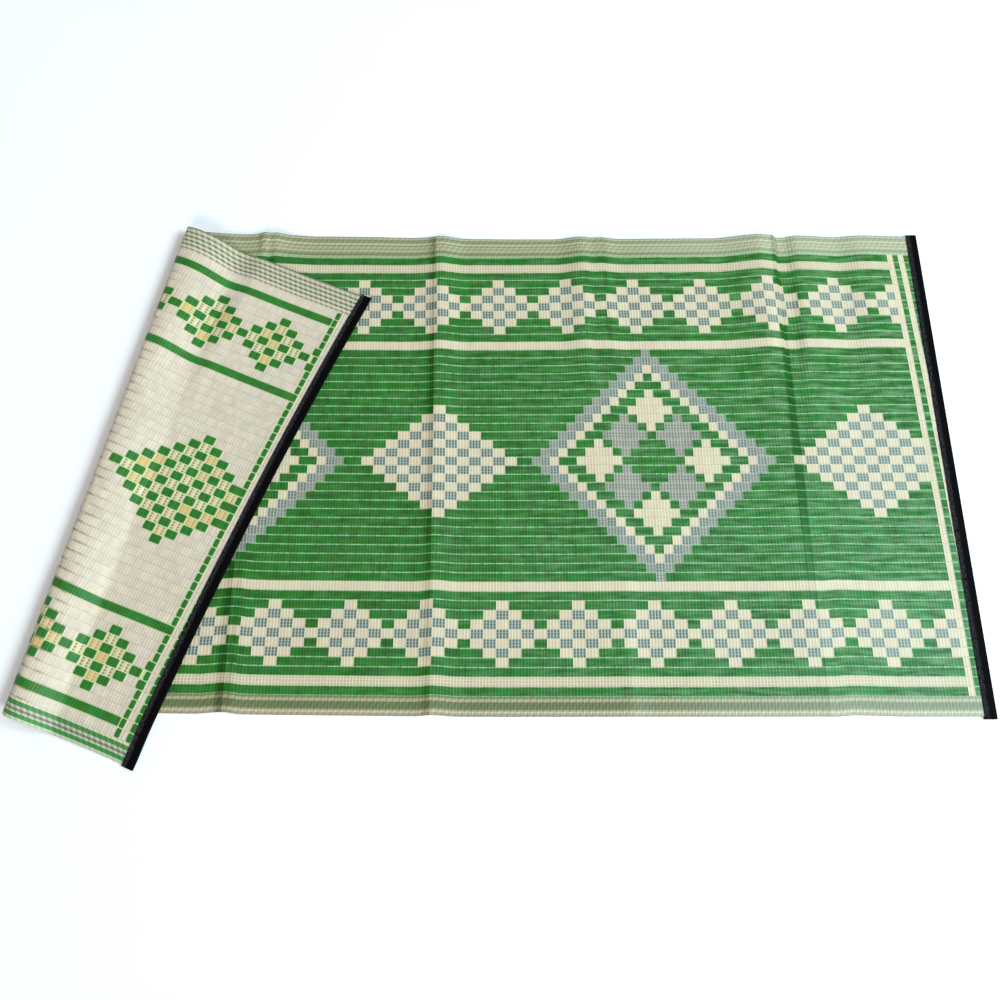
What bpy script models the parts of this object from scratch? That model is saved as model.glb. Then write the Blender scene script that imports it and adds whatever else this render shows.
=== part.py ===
"""A woven plastic floor mat with one end folded back over itself.

The mat is one thin sheet. It is first thought of as cut and flat, and then every point is carried to
where it lies on the floor. On the flat sheet x runs along the mat, from 0 at the plain end to
-LENGTH at the folded end, and y runs across it, from the near selvedge to the far one.
On the floor +X points to the plain end, +Y to the far selvedge and +Z up.
Both short ends are closed by a tape that wraps the cut edge.
"""

import math
from collections import namedtuple

import bmesh
import bpy
from mathutils import Vector

# The sheet as it is cut, in metres
LENGTH = 1.853
HALF_WIDTH_FAR = 0.462
HALF_WIDTH_NEAR = 0.454
SHEET = 0.002
END_SLANT = 0.015
END_BOW = 0.014

# The tape that binds a short end
TAPE = 0.0012
TAPE_WIDTH = 0.0195
CLEARANCE = 0.0003
TAPE_OVERHANG = 0.002
TAPE_ROUNDING = 0.6
TAPE_RAMP = 0.070

# The far selvedge bulges a little where the mat nears its fold
BULGE = 0.007
BULGE_FROM = -0.70
BULGE_TO = -1.20

# The fold: its line crosses the mat at FOLD_X, turned by FOLD_TURN, and the end is a little skewed
FOLD_X = -1.507
FOLD_TURN = math.radians(11.9)
SKEW = 0.060
SKEW_BEND = -0.037
SKEW_FROM = -1.259
SKEW_SOFTNESS = 0.030
SKEW_RAMP = 0.250
RUN_IN = 0.160
TAIL = 0.160
FLAP_REST = 0.008

# The corner of the flap that lies past the near selvedge sinks towards the floor
DROOP = 0.0040
DROOP_FROM = 0.468
DROOP_OVER = 0.055

# One row for each end of the fold line: where the sheet leaves the floor, its bend and its landing.
# LOOP_REACH is half the length of the fold line, and LANDING_EASE how soon the flap settles
Loop = namedtuple("Loop", "lift radius descent landing")
LOOP_FAR = Loop(lift=0.012, radius=0.0150, descent=0.100, landing=0.020)
LOOP_NEAR = Loop(lift=0.001, radius=0.0220, descent=0.060, landing=0.009)
LOOP_REACH = 0.460
LANDING_EASE = 1.5

# Storage creases, as ridges across the mat: place and height at both selvedges and on the centre line
Crease = namedtuple("Crease", "x_far x_near h_far h_mid h_near rise fall")
CREASES = (
    Crease(-0.266, -0.277, 0.0110, 0.0045, 0.0040, 0.120, 0.045),
    Crease(-0.609, -0.598, 0.0065, 0.0035, 0.0040, 0.100, 0.040),
    Crease(-0.930, -0.928, 0.0060, 0.0040, 0.0045, 0.050, 0.060),
    Crease(-1.276, -1.255, 0.0070, 0.0008, 0.0030, 0.060, 0.050),
)
CREASE_ROUNDING = 0.004

# How the fold's section is divided
LIFT_STEPS = 12
TURN_STEPS = 24
DESCENT_STEPS = 24
TAIL_STEPS = 16

# How the sheet is divided: rows across, and the share of each stretch at which a column stands
ROWS = 16
RAMP_MIDDLE = 0.35
RISE_STEPS = (1.0, 0.68, 0.42, 0.24, 0.12, 0.045)
FALL_STEPS = (0.06, 0.16, 0.34, 0.62, 1.0)
RUN_IN_COLUMNS = 7
BEND_COLUMNS = 14
DESCENT_COLUMNS = 9
TAIL_COLUMNS = 5

# Edges sharper than this stay crisp
CRISP_ANGLE = math.radians(35.0)

WOVEN_GREEN = (0.045, 0.235, 0.050)
TAPE_BLACK = (0.012, 0.010, 0.016)


def smooth_step(value):
    """0 below 0, 1 above 1, and an even curve between."""
    value = min(1.0, max(0.0, value))
    return value * value * (3.0 - 2.0 * value)


def blend(near, far, share):
    return near + (far - near) * share


def share_across(y):
    """0 at the near selvedge and 1 at the far one."""
    return (y + HALF_WIDTH_NEAR) / (HALF_WIDTH_FAR + HALF_WIDTH_NEAR)


def half_width_far(x):
    return HALF_WIDTH_FAR + BULGE * smooth_step((x - BULGE_FROM) / (BULGE_TO - BULGE_FROM))


def plain_end(y):
    """x of the plain end's cut edge, which isn't quite square to the mat."""
    return END_SLANT * (share_across(y) - 0.5)


def folded_end(y):
    """x of the folded end's cut edge, which is drawn in at its middle."""
    return -LENGTH - END_BOW * (2.0 * share_across(y) - 1.0) ** 2


def crease_line(crease, y):
    return blend(crease.x_near, crease.x_far, share_across(y))


def crease_height(crease, x, y):
    """Height of the sheet on one crease: a rounded ridge that runs out into the flat."""
    share = share_across(y)
    side = 2.0 * share - 1.0
    edge = crease.h_far if side > 0.0 else crease.h_near
    height = blend(crease.h_mid, edge, side * side)
    offset = x - crease_line(crease, y)
    reach = crease.rise if offset < 0.0 else crease.fall
    distance = math.hypot(offset, CREASE_ROUNDING) - CREASE_ROUNDING
    return height * max(0.0, 1.0 - distance / reach) ** 2


def lying_height(x, y):
    """Height of the sheet's underside where it lies, with its creases and the lift over the tape."""
    from_tape = (plain_end(y) - x - TAPE_WIDTH) / TAPE_RAMP
    over_tape = (TAPE + CLEARANCE) * (1.0 - smooth_step(from_tape))
    return over_tape + sum(crease_height(crease, x, y) for crease in CREASES)


def skewed(x, y):
    """The flat sheet with its folded end turned a little in its own plane."""
    ahead = (SKEW_FROM - x) / SKEW_SOFTNESS
    past = SKEW_SOFTNESS * (math.log1p(math.exp(-abs(ahead))) + max(ahead, 0.0))
    turn = min(1.0, past / SKEW_RAMP)
    return x + SKEW * y * turn, y + SKEW * past + SKEW_BEND * past * past


def loop_at(t):
    share = (t + LOOP_REACH) / (2.0 * LOOP_REACH)
    return Loop(*(blend(near, far, share) for near, far in zip(LOOP_NEAR, LOOP_FAR)))


def loop_section(loop):
    """Points (length along the sheet, outward, height) of the underside through the fold."""
    points = []
    for step in range(LIFT_STEPS + 1):
        share = step / LIFT_STEPS
        points.append((RUN_IN * (share - 1.0), loop.lift * smooth_step(share)))
    for step in range(1, TURN_STEPS + 1):
        angle = math.pi * step / TURN_STEPS
        height = loop.lift + loop.radius * (1.0 - math.cos(angle))
        points.append((loop.radius * math.sin(angle), height))
    top = loop.lift + 2.0 * loop.radius
    for step in range(1, DESCENT_STEPS + 1):
        share = step / DESCENT_STEPS
        height = loop.landing + (top - loop.landing) * math.cos(0.5 * math.pi * share)
        points.append((-loop.descent * share, height))
    for step in range(1, TAIL_STEPS + 1):
        share = step / TAIL_STEPS
        height = FLAP_REST + (loop.landing - FLAP_REST) * (1.0 - share) ** LANDING_EASE
        points.append((-loop.descent - TAIL * share, height))
    points.append((-LENGTH, FLAP_REST))
    section = []
    travelled = -RUN_IN
    last = points[0]
    for point in points:
        travelled += math.hypot(point[0] - last[0], point[1] - last[1])
        section.append((travelled, point[0], point[1]))
        last = point
    return section


def landing_length(loop):
    """Length along the sheet from the fold line to where the flap lands."""
    return loop_section(loop)[LIFT_STEPS + TURN_STEPS + DESCENT_STEPS][0]


def along_section(section, length):
    """(outward, height) at a length along the section."""
    for start, end in zip(section, section[1:]):
        if length <= end[0]:
            share = (length - start[0]) / (end[0] - start[0])
            return blend(start[1], end[1], share), blend(start[2], end[2], share)
    return section[-1][1], section[-1][2]


def on_floor(x, y):
    """Where a point of the flat sheet's underside lies once the mat is laid out and folded."""
    flat_x, flat_y = skewed(x, y)
    line = Vector((math.sin(FOLD_TURN), math.cos(FOLD_TURN)))
    outward = Vector((-math.cos(FOLD_TURN), math.sin(FOLD_TURN)))
    offset = Vector((flat_x - FOLD_X, flat_y))
    past = offset.dot(outward)
    t = offset.dot(line)
    if past <= -RUN_IN:
        return Vector((flat_x, flat_y, lying_height(x, y)))
    outs, height = along_section(loop_section(loop_at(t)), past)
    place = Vector((FOLD_X, 0.0)) + line * t + outward * outs
    if past < 0.0:
        height += lying_height(x, y)
    sunk = smooth_step((-place.y - DROOP_FROM) / DROOP_OVER)
    height -= DROOP * sunk * smooth_step(past / TAIL)
    return Vector((place.x, place.y, height))


def above_sheet(x, y, height):
    """A point at a height over the sheet's underside, on the sheet's own normal."""
    step = 0.001
    along = on_floor(x + step, y) - on_floor(x - step, y)
    across = on_floor(x, y + step) - on_floor(x, y - step)
    return on_floor(x, y) + along.cross(across).normalized() * height


def fold_column(far, near):
    """A column's two ends, as distances past the fold line at the far and the near selvedge."""
    slope = math.tan(FOLD_TURN)
    return (
        FOLD_X + HALF_WIDTH_FAR * slope - far / math.cos(FOLD_TURN),
        FOLD_X - HALF_WIDTH_NEAR * slope - near / math.cos(FOLD_TURN),
    )


def columns_of_sheet():
    """x at the far and the near selvedge of each column, from the plain end to the fold's tail."""
    columns = []
    half = END_SLANT / 2.0
    for inward in (0.0, TAPE_WIDTH / 2.0, TAPE_WIDTH):
        columns.append((half - inward, -half - inward))
    for ramp in (RAMP_MIDDLE, 1.0):
        inward = TAPE_WIDTH + TAPE_RAMP * ramp
        columns.append((half - inward, -half - inward))
    for crease in CREASES:
        for share in reversed(FALL_STEPS):
            offset = crease.fall * share
            columns.append((crease.x_far + offset, crease.x_near + offset))
        columns.append((crease.x_far, crease.x_near))
        for share in reversed(RISE_STEPS):
            offset = crease.rise * share
            columns.append((crease.x_far - offset, crease.x_near - offset))
    last_far, last_near = min(columns)[0], min(column[1] for column in columns)
    tangent_far, tangent_near = fold_column(0.0, 0.0)
    for step in range(1, RUN_IN_COLUMNS + 1):
        share = step / RUN_IN_COLUMNS
        columns.append((blend(last_far, tangent_far, share), blend(last_near, tangent_near, share)))
    bend_far, bend_near = math.pi * LOOP_FAR.radius, math.pi * LOOP_NEAR.radius
    for step in range(1, BEND_COLUMNS + 1):
        share = step / BEND_COLUMNS
        columns.append(fold_column(bend_far * share, bend_near * share))
    landing_far, landing_near = landing_length(LOOP_FAR), landing_length(LOOP_NEAR)
    for step in range(1, DESCENT_COLUMNS + 1):
        share = step / DESCENT_COLUMNS
        far = blend(bend_far, landing_far, share)
        near = blend(bend_near, landing_near, share)
        columns.append(fold_column(far, near))
    return sorted(columns, key=sum, reverse=True)


def column_x(columns, index, y):
    """x on a column; the last ones spread from the landing to the folded end's tape."""
    share = share_across(y)
    if index < len(columns):
        far, near = columns[index]
        return blend(near, far, share)
    landing = blend(columns[-1][1], columns[-1][0], share)
    tape = folded_end(y) + TAPE_WIDTH
    step = index - len(columns) + 1
    if step <= TAIL_COLUMNS:
        return blend(landing, tape, step / TAIL_COLUMNS)
    return tape - TAPE_WIDTH * (step - TAIL_COLUMNS) / 2.0


def point_of_sheet(columns, index, row):
    """x and y on the flat sheet where a column crosses a row."""
    middle = column_x(columns, index, 0.0)
    y = blend(-HALF_WIDTH_NEAR, half_width_far(middle), row / ROWS)
    return column_x(columns, index, y), y


def make_material(name, color, roughness):
    material = bpy.data.materials.new(name)
    material.use_nodes = True
    shader = material.node_tree.nodes["Principled BSDF"]
    shader.inputs["Base Color"].default_value = (*color, 1.0)
    shader.inputs["Roughness"].default_value = roughness
    material.diffuse_color = (*color, 1.0)
    return material


def add_object(name, shape, material):
    bmesh.ops.recalc_face_normals(shape, faces=shape.faces)
    mesh = bpy.data.meshes.new(name)
    shape.to_mesh(mesh)
    shape.free()
    mesh.materials.append(material)
    mesh.shade_smooth()
    mesh.set_sharp_from_angle(angle=CRISP_ANGLE)
    piece = bpy.data.objects.new(name, mesh)
    bpy.context.scene.collection.objects.link(piece)
    return piece


def add_woven_mat():
    """The woven panel: a grid on the flat sheet, carried to the floor, with its top side added."""
    columns = columns_of_sheet()
    last = len(columns) + TAIL_COLUMNS + 1
    sheet = bmesh.new()
    bmesh.ops.create_grid(sheet, x_segments=last, y_segments=ROWS, size=0.5)
    on_sheet = {}
    for vert in sheet.verts:
        index = round((0.5 - vert.co.x) * last)
        row = round((0.5 + vert.co.y) * ROWS)
        on_sheet[vert] = point_of_sheet(columns, index, row)
    rim = [edge for edge in sheet.edges if edge.is_boundary]
    copy = bmesh.ops.duplicate(sheet, geom=[*sheet.verts, *sheet.edges, *sheet.faces])
    for vert, (x, y) in on_sheet.items():
        vert.co = on_floor(x, y)
        copy["vert_map"][vert].co = above_sheet(x, y, SHEET)
    twin_rim = [copy["edge_map"][edge] for edge in rim]
    bmesh.ops.bridge_loops(sheet, edges=rim + twin_rim)
    return add_object("woven_mat", sheet, make_material("woven polypropylene straw", WOVEN_GREEN, 0.45))


def tape_corners():
    """The tape's section as (inward from the cut edge, height over the underside)."""
    inner, outer = CLEARANCE, CLEARANCE + TAPE
    corner = outer * TAPE_ROUNDING
    return (
        (TAPE_WIDTH, -outer),
        (-corner, -outer),
        (-outer, corner - outer),
        (-outer, SHEET + outer - corner),
        (-corner, SHEET + outer),
        (TAPE_WIDTH, SHEET + outer),
        (TAPE_WIDTH, SHEET + inner),
        (-inner, SHEET + inner),
        (-inner, -inner),
        (TAPE_WIDTH, -inner),
    )


def add_binding(name, cut_edge, inward, material):
    """A tape folded round one cut edge, from selvedge to selvedge."""
    shape = bmesh.new()
    rings = []
    for step in range(-1, ROWS + 2):
        share = min(1.0, max(0.0, step / ROWS))
        far = half_width_far(cut_edge(0.0))
        y = blend(-HALF_WIDTH_NEAR, far, share)
        y += TAPE_OVERHANG * ((step > ROWS) - (step < 0))
        verts = []
        for depth, height in tape_corners():
            x = cut_edge(y) + inward * depth
            verts.append(shape.verts.new(above_sheet(x, y, height)))
        rings.append(verts)
    for verts in (rings[0], rings[-1]):
        shape.faces.new(verts)
    loops = []
    for verts in rings:
        pairs = zip(verts, verts[1:] + verts[:1])
        loops.append([shape.edges.get(pair) or shape.edges.new(pair) for pair in pairs])
    for edges, following in zip(loops, loops[1:]):
        bmesh.ops.bridge_loops(shape, edges=edges + following)
    return add_object(name, shape, material)


def centre_on_origin(pieces):
    """Puts the middle of the whole mat's box over the origin, with its underside on the floor."""
    corners = [vert.co for piece in pieces for vert in piece.data.vertices]
    middle_x = (min(co.x for co in corners) + max(co.x for co in corners)) / 2.0
    middle_y = (min(co.y for co in corners) + max(co.y for co in corners)) / 2.0
    for piece in pieces:
        for vert in piece.data.vertices:
            vert.co.x -= middle_x
            vert.co.y -= middle_y


def main():
    for old in list(bpy.data.objects):
        bpy.data.objects.remove(old, do_unlink=True)
    tape = make_material("woven binding tape", TAPE_BLACK, 0.75)
    mat = add_woven_mat()
    plain = add_binding("plain_end_binding", plain_end, -1.0, tape)
    folded = add_binding("folded_end_binding", folded_end, 1.0, tape)
    centre_on_origin([mat, plain, folded])


main()
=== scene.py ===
# %% [markdown]
# # A woven plastic floor mat with one end folded back
# The mat is one long sheet of plastic straw, woven in two colours at once: green on its face and
# cream on its back. Wherever the loom brings the cream straws up to draw a motif, the green ones go
# down, so the back shows the same pattern with its colours exchanged. Both short ends are closed
# with a black tape. One end is folded over, so both faces show at the same time.
# The solid model of the mat is loaded first. Everything that is made below lies where it lies.

# %% Load the solid model
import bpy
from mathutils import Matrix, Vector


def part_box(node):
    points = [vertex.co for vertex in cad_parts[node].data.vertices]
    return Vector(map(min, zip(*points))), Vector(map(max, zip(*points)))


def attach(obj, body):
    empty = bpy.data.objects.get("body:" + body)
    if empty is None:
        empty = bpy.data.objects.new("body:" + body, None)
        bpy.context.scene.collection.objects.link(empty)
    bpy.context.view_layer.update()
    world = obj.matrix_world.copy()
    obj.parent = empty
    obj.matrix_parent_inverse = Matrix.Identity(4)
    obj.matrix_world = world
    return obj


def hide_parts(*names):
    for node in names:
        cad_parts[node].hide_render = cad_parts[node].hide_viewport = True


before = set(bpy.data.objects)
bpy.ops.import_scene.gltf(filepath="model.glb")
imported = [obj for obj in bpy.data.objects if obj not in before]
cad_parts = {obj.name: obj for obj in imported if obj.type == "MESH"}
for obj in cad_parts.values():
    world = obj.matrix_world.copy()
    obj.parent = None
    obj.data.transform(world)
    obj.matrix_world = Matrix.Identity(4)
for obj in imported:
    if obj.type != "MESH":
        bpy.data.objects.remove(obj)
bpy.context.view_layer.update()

# %% Modules
import math
from collections import namedtuple

import bmesh
import bpy
import numpy as np
from mathutils import Euler, Vector

# %% [markdown]
# ## The flat sheet
# A weave is easiest to describe before it is folded. Its own units are the straw, of which one is
# beaten in at a time along the mat, and the row, the stretch of straw between two warp threads.
# Straws are counted along the mat and rows across it, from the far selvedge to the near one.
# In metres, x runs along the flat sheet, from 0 at the plain end to -LENGTH at the folded end,
# and y runs across it.

# %% Sizes of the flat sheet, in metres, and its counts of straws and rows
LENGTH = 1.853
HALF_WIDTH_FAR = 0.462
HALF_WIDTH_NEAR = 0.454
SHEET = 0.002

# The plain end's cut is a little askew, and the folded end's is drawn in at its middle
END_SLANT = 0.015
END_BOW = 0.014

STRAW = 0.00539
ROW = 0.0165
FIRST_ROW = -0.5
LAST_ROW = 55.0
CENTRE_ROW = 27.5
FAR_SELVEDGE_ROW = 2.0
NEAR_SELVEDGE_ROW = 53.0
STRAW_AT_PLAIN_END = 29.64

# Where the mat is folded, its straws are spread a little, most at the far side
WIDE_FAR = 4.3
WIDE_NEAR = 2.7
WIDE_FROM = -236.0
WIDE_OVER = 28.0

# Beating the straws in leaves them bowed: they lag at both selvedges, and lean near the plain end
BOW = 0.0052
LEAN = 0.0055
LEAN_FROM = -60.0
LEAN_OVER = 80.0
ROW_SAG = 0.0049

# The far selvedge bulges a little where the mat nears its fold
BULGE = 0.007
BULGE_FROM = -0.70
BULGE_TO = -1.20


def smooth_step(value):
    """0 below 0, 1 above 1, and an even curve between."""
    value = np.clip(value, 0.0, 1.0)
    return value * value * (3.0 - 2.0 * value)


def blend(near, far, share):
    return near + (far - near) * share


def share_across(y):
    """0 at the near selvedge and 1 at the far one."""
    return (y + HALF_WIDTH_NEAR) / (HALF_WIDTH_FAR + HALF_WIDTH_NEAR)


def plain_end(y):
    """x of the plain end's cut edge, which isn't quite square to the mat."""
    return END_SLANT * (share_across(y) - 0.5)


def folded_end(y):
    """x of the folded end's cut edge, which is drawn in at its middle."""
    return -LENGTH - END_BOW * (2.0 * share_across(y) - 1.0) ** 2


def side_of_row(row):
    """-1 at the near selvedge and 1 at the far one."""
    return (CENTRE_ROW - row) * 2.0 / (LAST_ROW - FIRST_ROW)


def x_of_straw(straw, row):
    """Where a counted straw lies along the sheet, in one row."""
    side = side_of_row(row)
    wide = blend(WIDE_NEAR, WIDE_FAR, 0.5 + 0.5 * side) * smooth_step((WIDE_FROM - straw) / WIDE_OVER)
    bow = BOW * side * side + LEAN * side * smooth_step((straw - LEAN_FROM) / LEAN_OVER)
    return (straw - STRAW_AT_PLAIN_END - wide) * STRAW - bow


def straw_at(x, row):
    """The counted straw that lies at a place along the sheet, found by closing in on it."""
    straw = STRAW_AT_PLAIN_END + x / STRAW
    for _ in range(8):
        straw = straw + (x - x_of_straw(straw, row)) / STRAW
    return straw


def y_of_row(row, x):
    """Where a row lies across the sheet. Its selvedges take in what its edges gain or lose."""
    inner = np.clip(row, FAR_SELVEDGE_ROW, NEAR_SELVEDGE_ROW)
    y = (CENTRE_ROW - inner) * ROW - ROW_SAG * (1.0 - side_of_row(inner) ** 2)
    far = HALF_WIDTH_FAR + BULGE * smooth_step((x - BULGE_FROM) / (BULGE_TO - BULGE_FROM))
    y = blend(y, far, np.clip((FAR_SELVEDGE_ROW - row) / (FAR_SELVEDGE_ROW - FIRST_ROW), 0.0, 1.0))
    near_share = np.clip((row - NEAR_SELVEDGE_ROW) / (LAST_ROW - NEAR_SELVEDGE_ROW), 0.0, 1.0)
    return blend(y, -HALF_WIDTH_NEAR, near_share)


print(f"{LENGTH / STRAW:.0f} straws of {STRAW * 1000:.1f} mm and rows of {ROW * 1000:.1f} mm")

# %% [markdown]
# ## How it lies
# The folds could be simulated, but the photo shows exactly where this mat's storage creases and its
# fold are, and a simulation would only come near them. So the lie is worked out: low ridges for the
# creases, and for the fold a bend that lifts off the floor, turns over, comes down and lands.
# The function on_floor() carries any point of the flat sheet to its place on the floor. It works on
# whole arrays of points at once, because the cloth has tens of thousands of them.

# %% The tape's size, which lifts the plain end, and the storage creases
TAPE = 0.0012
TAPE_WIDTH = 0.0195
CLEARANCE = 0.0003
TAPE_OVERHANG = 0.002
TAPE_RAMP = 0.070

# Place and height of each ridge at both selvedges and on the centre line, and its reach to each side
Crease = namedtuple("Crease", "x_far x_near h_far h_mid h_near rise fall")
CREASES = (
    Crease(-0.266, -0.277, 0.0110, 0.0045, 0.0040, 0.120, 0.045),
    Crease(-0.609, -0.598, 0.0065, 0.0035, 0.0040, 0.100, 0.040),
    Crease(-0.930, -0.928, 0.0060, 0.0040, 0.0045, 0.050, 0.060),
    Crease(-1.276, -1.255, 0.0070, 0.0008, 0.0030, 0.060, 0.050),
)
CREASE_ROUNDING = 0.004


def crease_height(crease, x, y):
    """Height of the sheet on one crease: a rounded ridge that runs out into the flat."""
    share = share_across(y)
    side = 2.0 * share - 1.0
    edge = np.where(side > 0.0, crease.h_far, crease.h_near)
    height = blend(crease.h_mid, edge, side * side)
    offset = x - blend(crease.x_near, crease.x_far, share)
    reach = np.where(offset < 0.0, crease.rise, crease.fall)
    distance = np.hypot(offset, CREASE_ROUNDING) - CREASE_ROUNDING
    return height * np.maximum(0.0, 1.0 - distance / reach) ** 2


def lying_height(x, y):
    """Height of the sheet's underside where it lies, with its creases and the lift over the tape."""
    from_tape = (plain_end(y) - x - TAPE_WIDTH) / TAPE_RAMP
    over_tape = (TAPE + CLEARANCE) * (1.0 - smooth_step(from_tape))
    return over_tape + sum(crease_height(crease, x, y) for crease in CREASES)


# %% The fold
FOLD_X = -1.507
FOLD_TURN = math.radians(11.9)
SKEW = 0.060
SKEW_BEND = -0.037
SKEW_FROM = -1.259
SKEW_SOFTNESS = 0.030
SKEW_RAMP = 0.250
RUN_IN = 0.160
TAIL = 0.160
FLAP_REST = 0.008
LANDING_EASE = 1.5

# The corner of the flap that lies past the near selvedge sinks towards the floor
DROOP = 0.0040
DROOP_FROM = 0.468
DROOP_OVER = 0.055

# One row for each end of the fold line: where the sheet leaves the floor, its bend and its landing
Loop = namedtuple("Loop", "lift radius descent landing")
LOOP_FAR = Loop(lift=0.012, radius=0.0150, descent=0.100, landing=0.020)
LOOP_NEAR = Loop(lift=0.001, radius=0.0220, descent=0.060, landing=0.009)
LOOP_REACH = 0.460

# How many steps each stretch of the fold's section is drawn with
LIFT_STEPS = 12
TURN_STEPS = 48
DESCENT_STEPS = 48
TAIL_STEPS = 32


def skewed(x, y):
    """The flat sheet with its folded end turned a little in its own plane."""
    past = SKEW_SOFTNESS * np.logaddexp(0.0, (SKEW_FROM - x) / SKEW_SOFTNESS)
    turn = np.minimum(1.0, past / SKEW_RAMP)
    return x + SKEW * y * turn, y + SKEW * past + SKEW_BEND * past * past


def loop_sections(t):
    """One row of points (length along the sheet, outward, height) for each place t on the fold line."""
    share = (t + LOOP_REACH) / (2.0 * LOOP_REACH)
    loop = Loop(*(blend(near, far, share)[:, None] for near, far in zip(LOOP_NEAR, LOOP_FAR)))
    top = loop.lift + 2.0 * loop.radius
    lift = np.linspace(0.0, 1.0, LIFT_STEPS + 1)
    turn = np.linspace(0.0, math.pi, TURN_STEPS + 1)[1:]
    down = np.linspace(0.0, 1.0, DESCENT_STEPS + 1)[1:]
    tail = np.linspace(0.0, 1.0, TAIL_STEPS + 1)[1:]
    level = np.ones_like(loop.lift)
    outward = np.hstack([
        RUN_IN * (lift - 1.0) * level,
        loop.radius * np.sin(turn),
        -loop.descent * down,
        -loop.descent - TAIL * tail,
        -LENGTH * level,
    ])
    height = np.hstack([
        loop.lift * smooth_step(lift),
        loop.lift + loop.radius * (1.0 - np.cos(turn)),
        loop.landing + (top - loop.landing) * np.cos(0.5 * math.pi * down),
        FLAP_REST + (loop.landing - FLAP_REST) * (1.0 - tail) ** LANDING_EASE,
        FLAP_REST * level,
    ])
    steps = np.hypot(np.diff(outward), np.diff(height))
    travelled = np.hstack([np.zeros_like(level), np.cumsum(steps, axis=1)]) - RUN_IN
    return travelled, outward, height


def through_fold(t, past):
    """(outward, height) at a length past the fold line, for each point."""
    travelled, outward, height = loop_sections(t)
    after = np.clip((travelled < past[:, None]).sum(axis=1), 1, travelled.shape[1] - 1)
    each = np.arange(len(past))
    start, end = travelled[each, after - 1], travelled[each, after]
    share = (past - start) / (end - start)
    return (
        blend(outward[each, after - 1], outward[each, after], share),
        blend(height[each, after - 1], height[each, after], share),
    )


# %% [markdown]
# The solid model was moved so that its box is centred on the origin. The same move is found here
# from the far outer corner of the plain end's tape, whose place on the flat sheet is known.

# %% From the flat sheet to the floor
tape_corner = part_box("plain_end_binding")[1]
MOVE_X = tape_corner.x - (plain_end(HALF_WIDTH_FAR + TAPE_OVERHANG) + CLEARANCE + TAPE)
MOVE_Y = tape_corner.y - (HALF_WIDTH_FAR + TAPE_OVERHANG)


def on_floor(x, y):
    """Where points of the flat sheet's underside lie once the mat is laid out and folded."""
    flat_x, flat_y = skewed(x, y)
    sine, cosine = math.sin(FOLD_TURN), math.cos(FOLD_TURN)
    past = -(flat_x - FOLD_X) * cosine + flat_y * sine
    t = (flat_x - FOLD_X) * sine + flat_y * cosine
    places = np.stack([flat_x, flat_y, lying_height(x, y)], axis=1)
    folded = past > -RUN_IN
    outward, height = through_fold(t[folded], past[folded])
    places[folded, 0] = FOLD_X + t[folded] * sine - outward * cosine
    places[folded, 1] = t[folded] * cosine + outward * sine
    height = height + np.where(past[folded] < 0.0, places[folded, 2], 0.0)
    sunk = smooth_step((-places[folded, 1] - DROOP_FROM) / DROOP_OVER)
    places[folded, 2] = height - DROOP * sunk * smooth_step(past[folded] / TAIL)
    return places + np.array([MOVE_X, MOVE_Y, 0.0])


def above_sheet(x, y, height):
    """Points at a height over the sheet's underside, on the sheet's own normals."""
    step = 0.0015
    along = on_floor(x + step, y) - on_floor(x - step, y)
    across = on_floor(x, y + step) - on_floor(x, y - step)
    normal = np.cross(along, across)
    normal /= np.linalg.norm(normal, axis=1)[:, None]
    return on_floor(x, y) + normal * height[:, None]


print(f"the flat sheet moves by {MOVE_X:.4f}, {MOVE_Y:.4f} m")

# %% [markdown]
# ## The chart
# A weaver works from a chart, with one square for a few straws of one row. This one repeats, so it
# is written as short rules: stripes, a band of small chequered diamonds along each side, and in the
# field large chequered diamonds that take turns with stepped medallions.
# chart() says which straws are on the face at any straw and row. The back shows the others.

# %% Which straws are on the face
GREEN, CREAM, HATCH, GREY, PALE_EDGE, DARK_EDGE, DOTTED = range(7)

CREAM_ROWS = (13, 41)
DOTTED_ROWS = (3, 51)
BAND_ROWS = (8, 46)
FIELD_ROW = 27
FIELD_HALF = 13
CELL = 4
MEDALLION_CELL = 3
BAND_PERIOD = 24
FIELD_PERIOD = 144
FIELD_DIAMOND_AT = 3.0
MEDALLION_AT = -69.5
BAND_REACH = 3
FIELD_REACH = 6
MEDALLION_REACH = 13
PLAIN_END_LINES = (21, 25)
FOLDED_END_LINES = (-305, -309)
LINE_STRAWS = 2


def cells_from(straw, middle, cell, period):
    """How many cells a straw is from the nearest motif's middle."""
    half = period / 2.0
    offset = (straw + 0.5 - middle + half) % period - half
    return abs(math.floor(offset / cell + 0.5))


def band_at(straw, row):
    """The chequered diamonds of a side band, which touch at their tips."""
    across = min(abs(row - middle) for middle in BAND_ROWS)
    distance = cells_from(straw, 0.0, CELL, BAND_PERIOD) + across
    if distance > BAND_REACH:
        return GREEN
    return CREAM if distance % 2 else HATCH


def medallion_at(along, across):
    """The stepped medallion: three edges, and inside them small diamonds of two kinds."""
    distance = along + across
    edges = {MEDALLION_REACH: PALE_EDGE, MEDALLION_REACH - 1: DARK_EDGE, MEDALLION_REACH - 2: CREAM}
    if distance in edges:
        return edges[distance]
    if distance < MEDALLION_REACH:
        if abs(along - FIELD_REACH) + across <= 2 or along + abs(across - FIELD_REACH) <= 2:
            return CREAM
        if abs(along - 3) + abs(across - 3) <= 2:
            return GREY
    return GREEN


def field_at(straw, row):
    across = abs(row - FIELD_ROW)
    distance = cells_from(straw, FIELD_DIAMOND_AT, CELL, FIELD_PERIOD) + across
    if distance <= FIELD_REACH:
        return HATCH if distance % 2 else CREAM
    return medallion_at(cells_from(straw, MEDALLION_AT, MEDALLION_CELL, FIELD_PERIOD), across)


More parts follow.
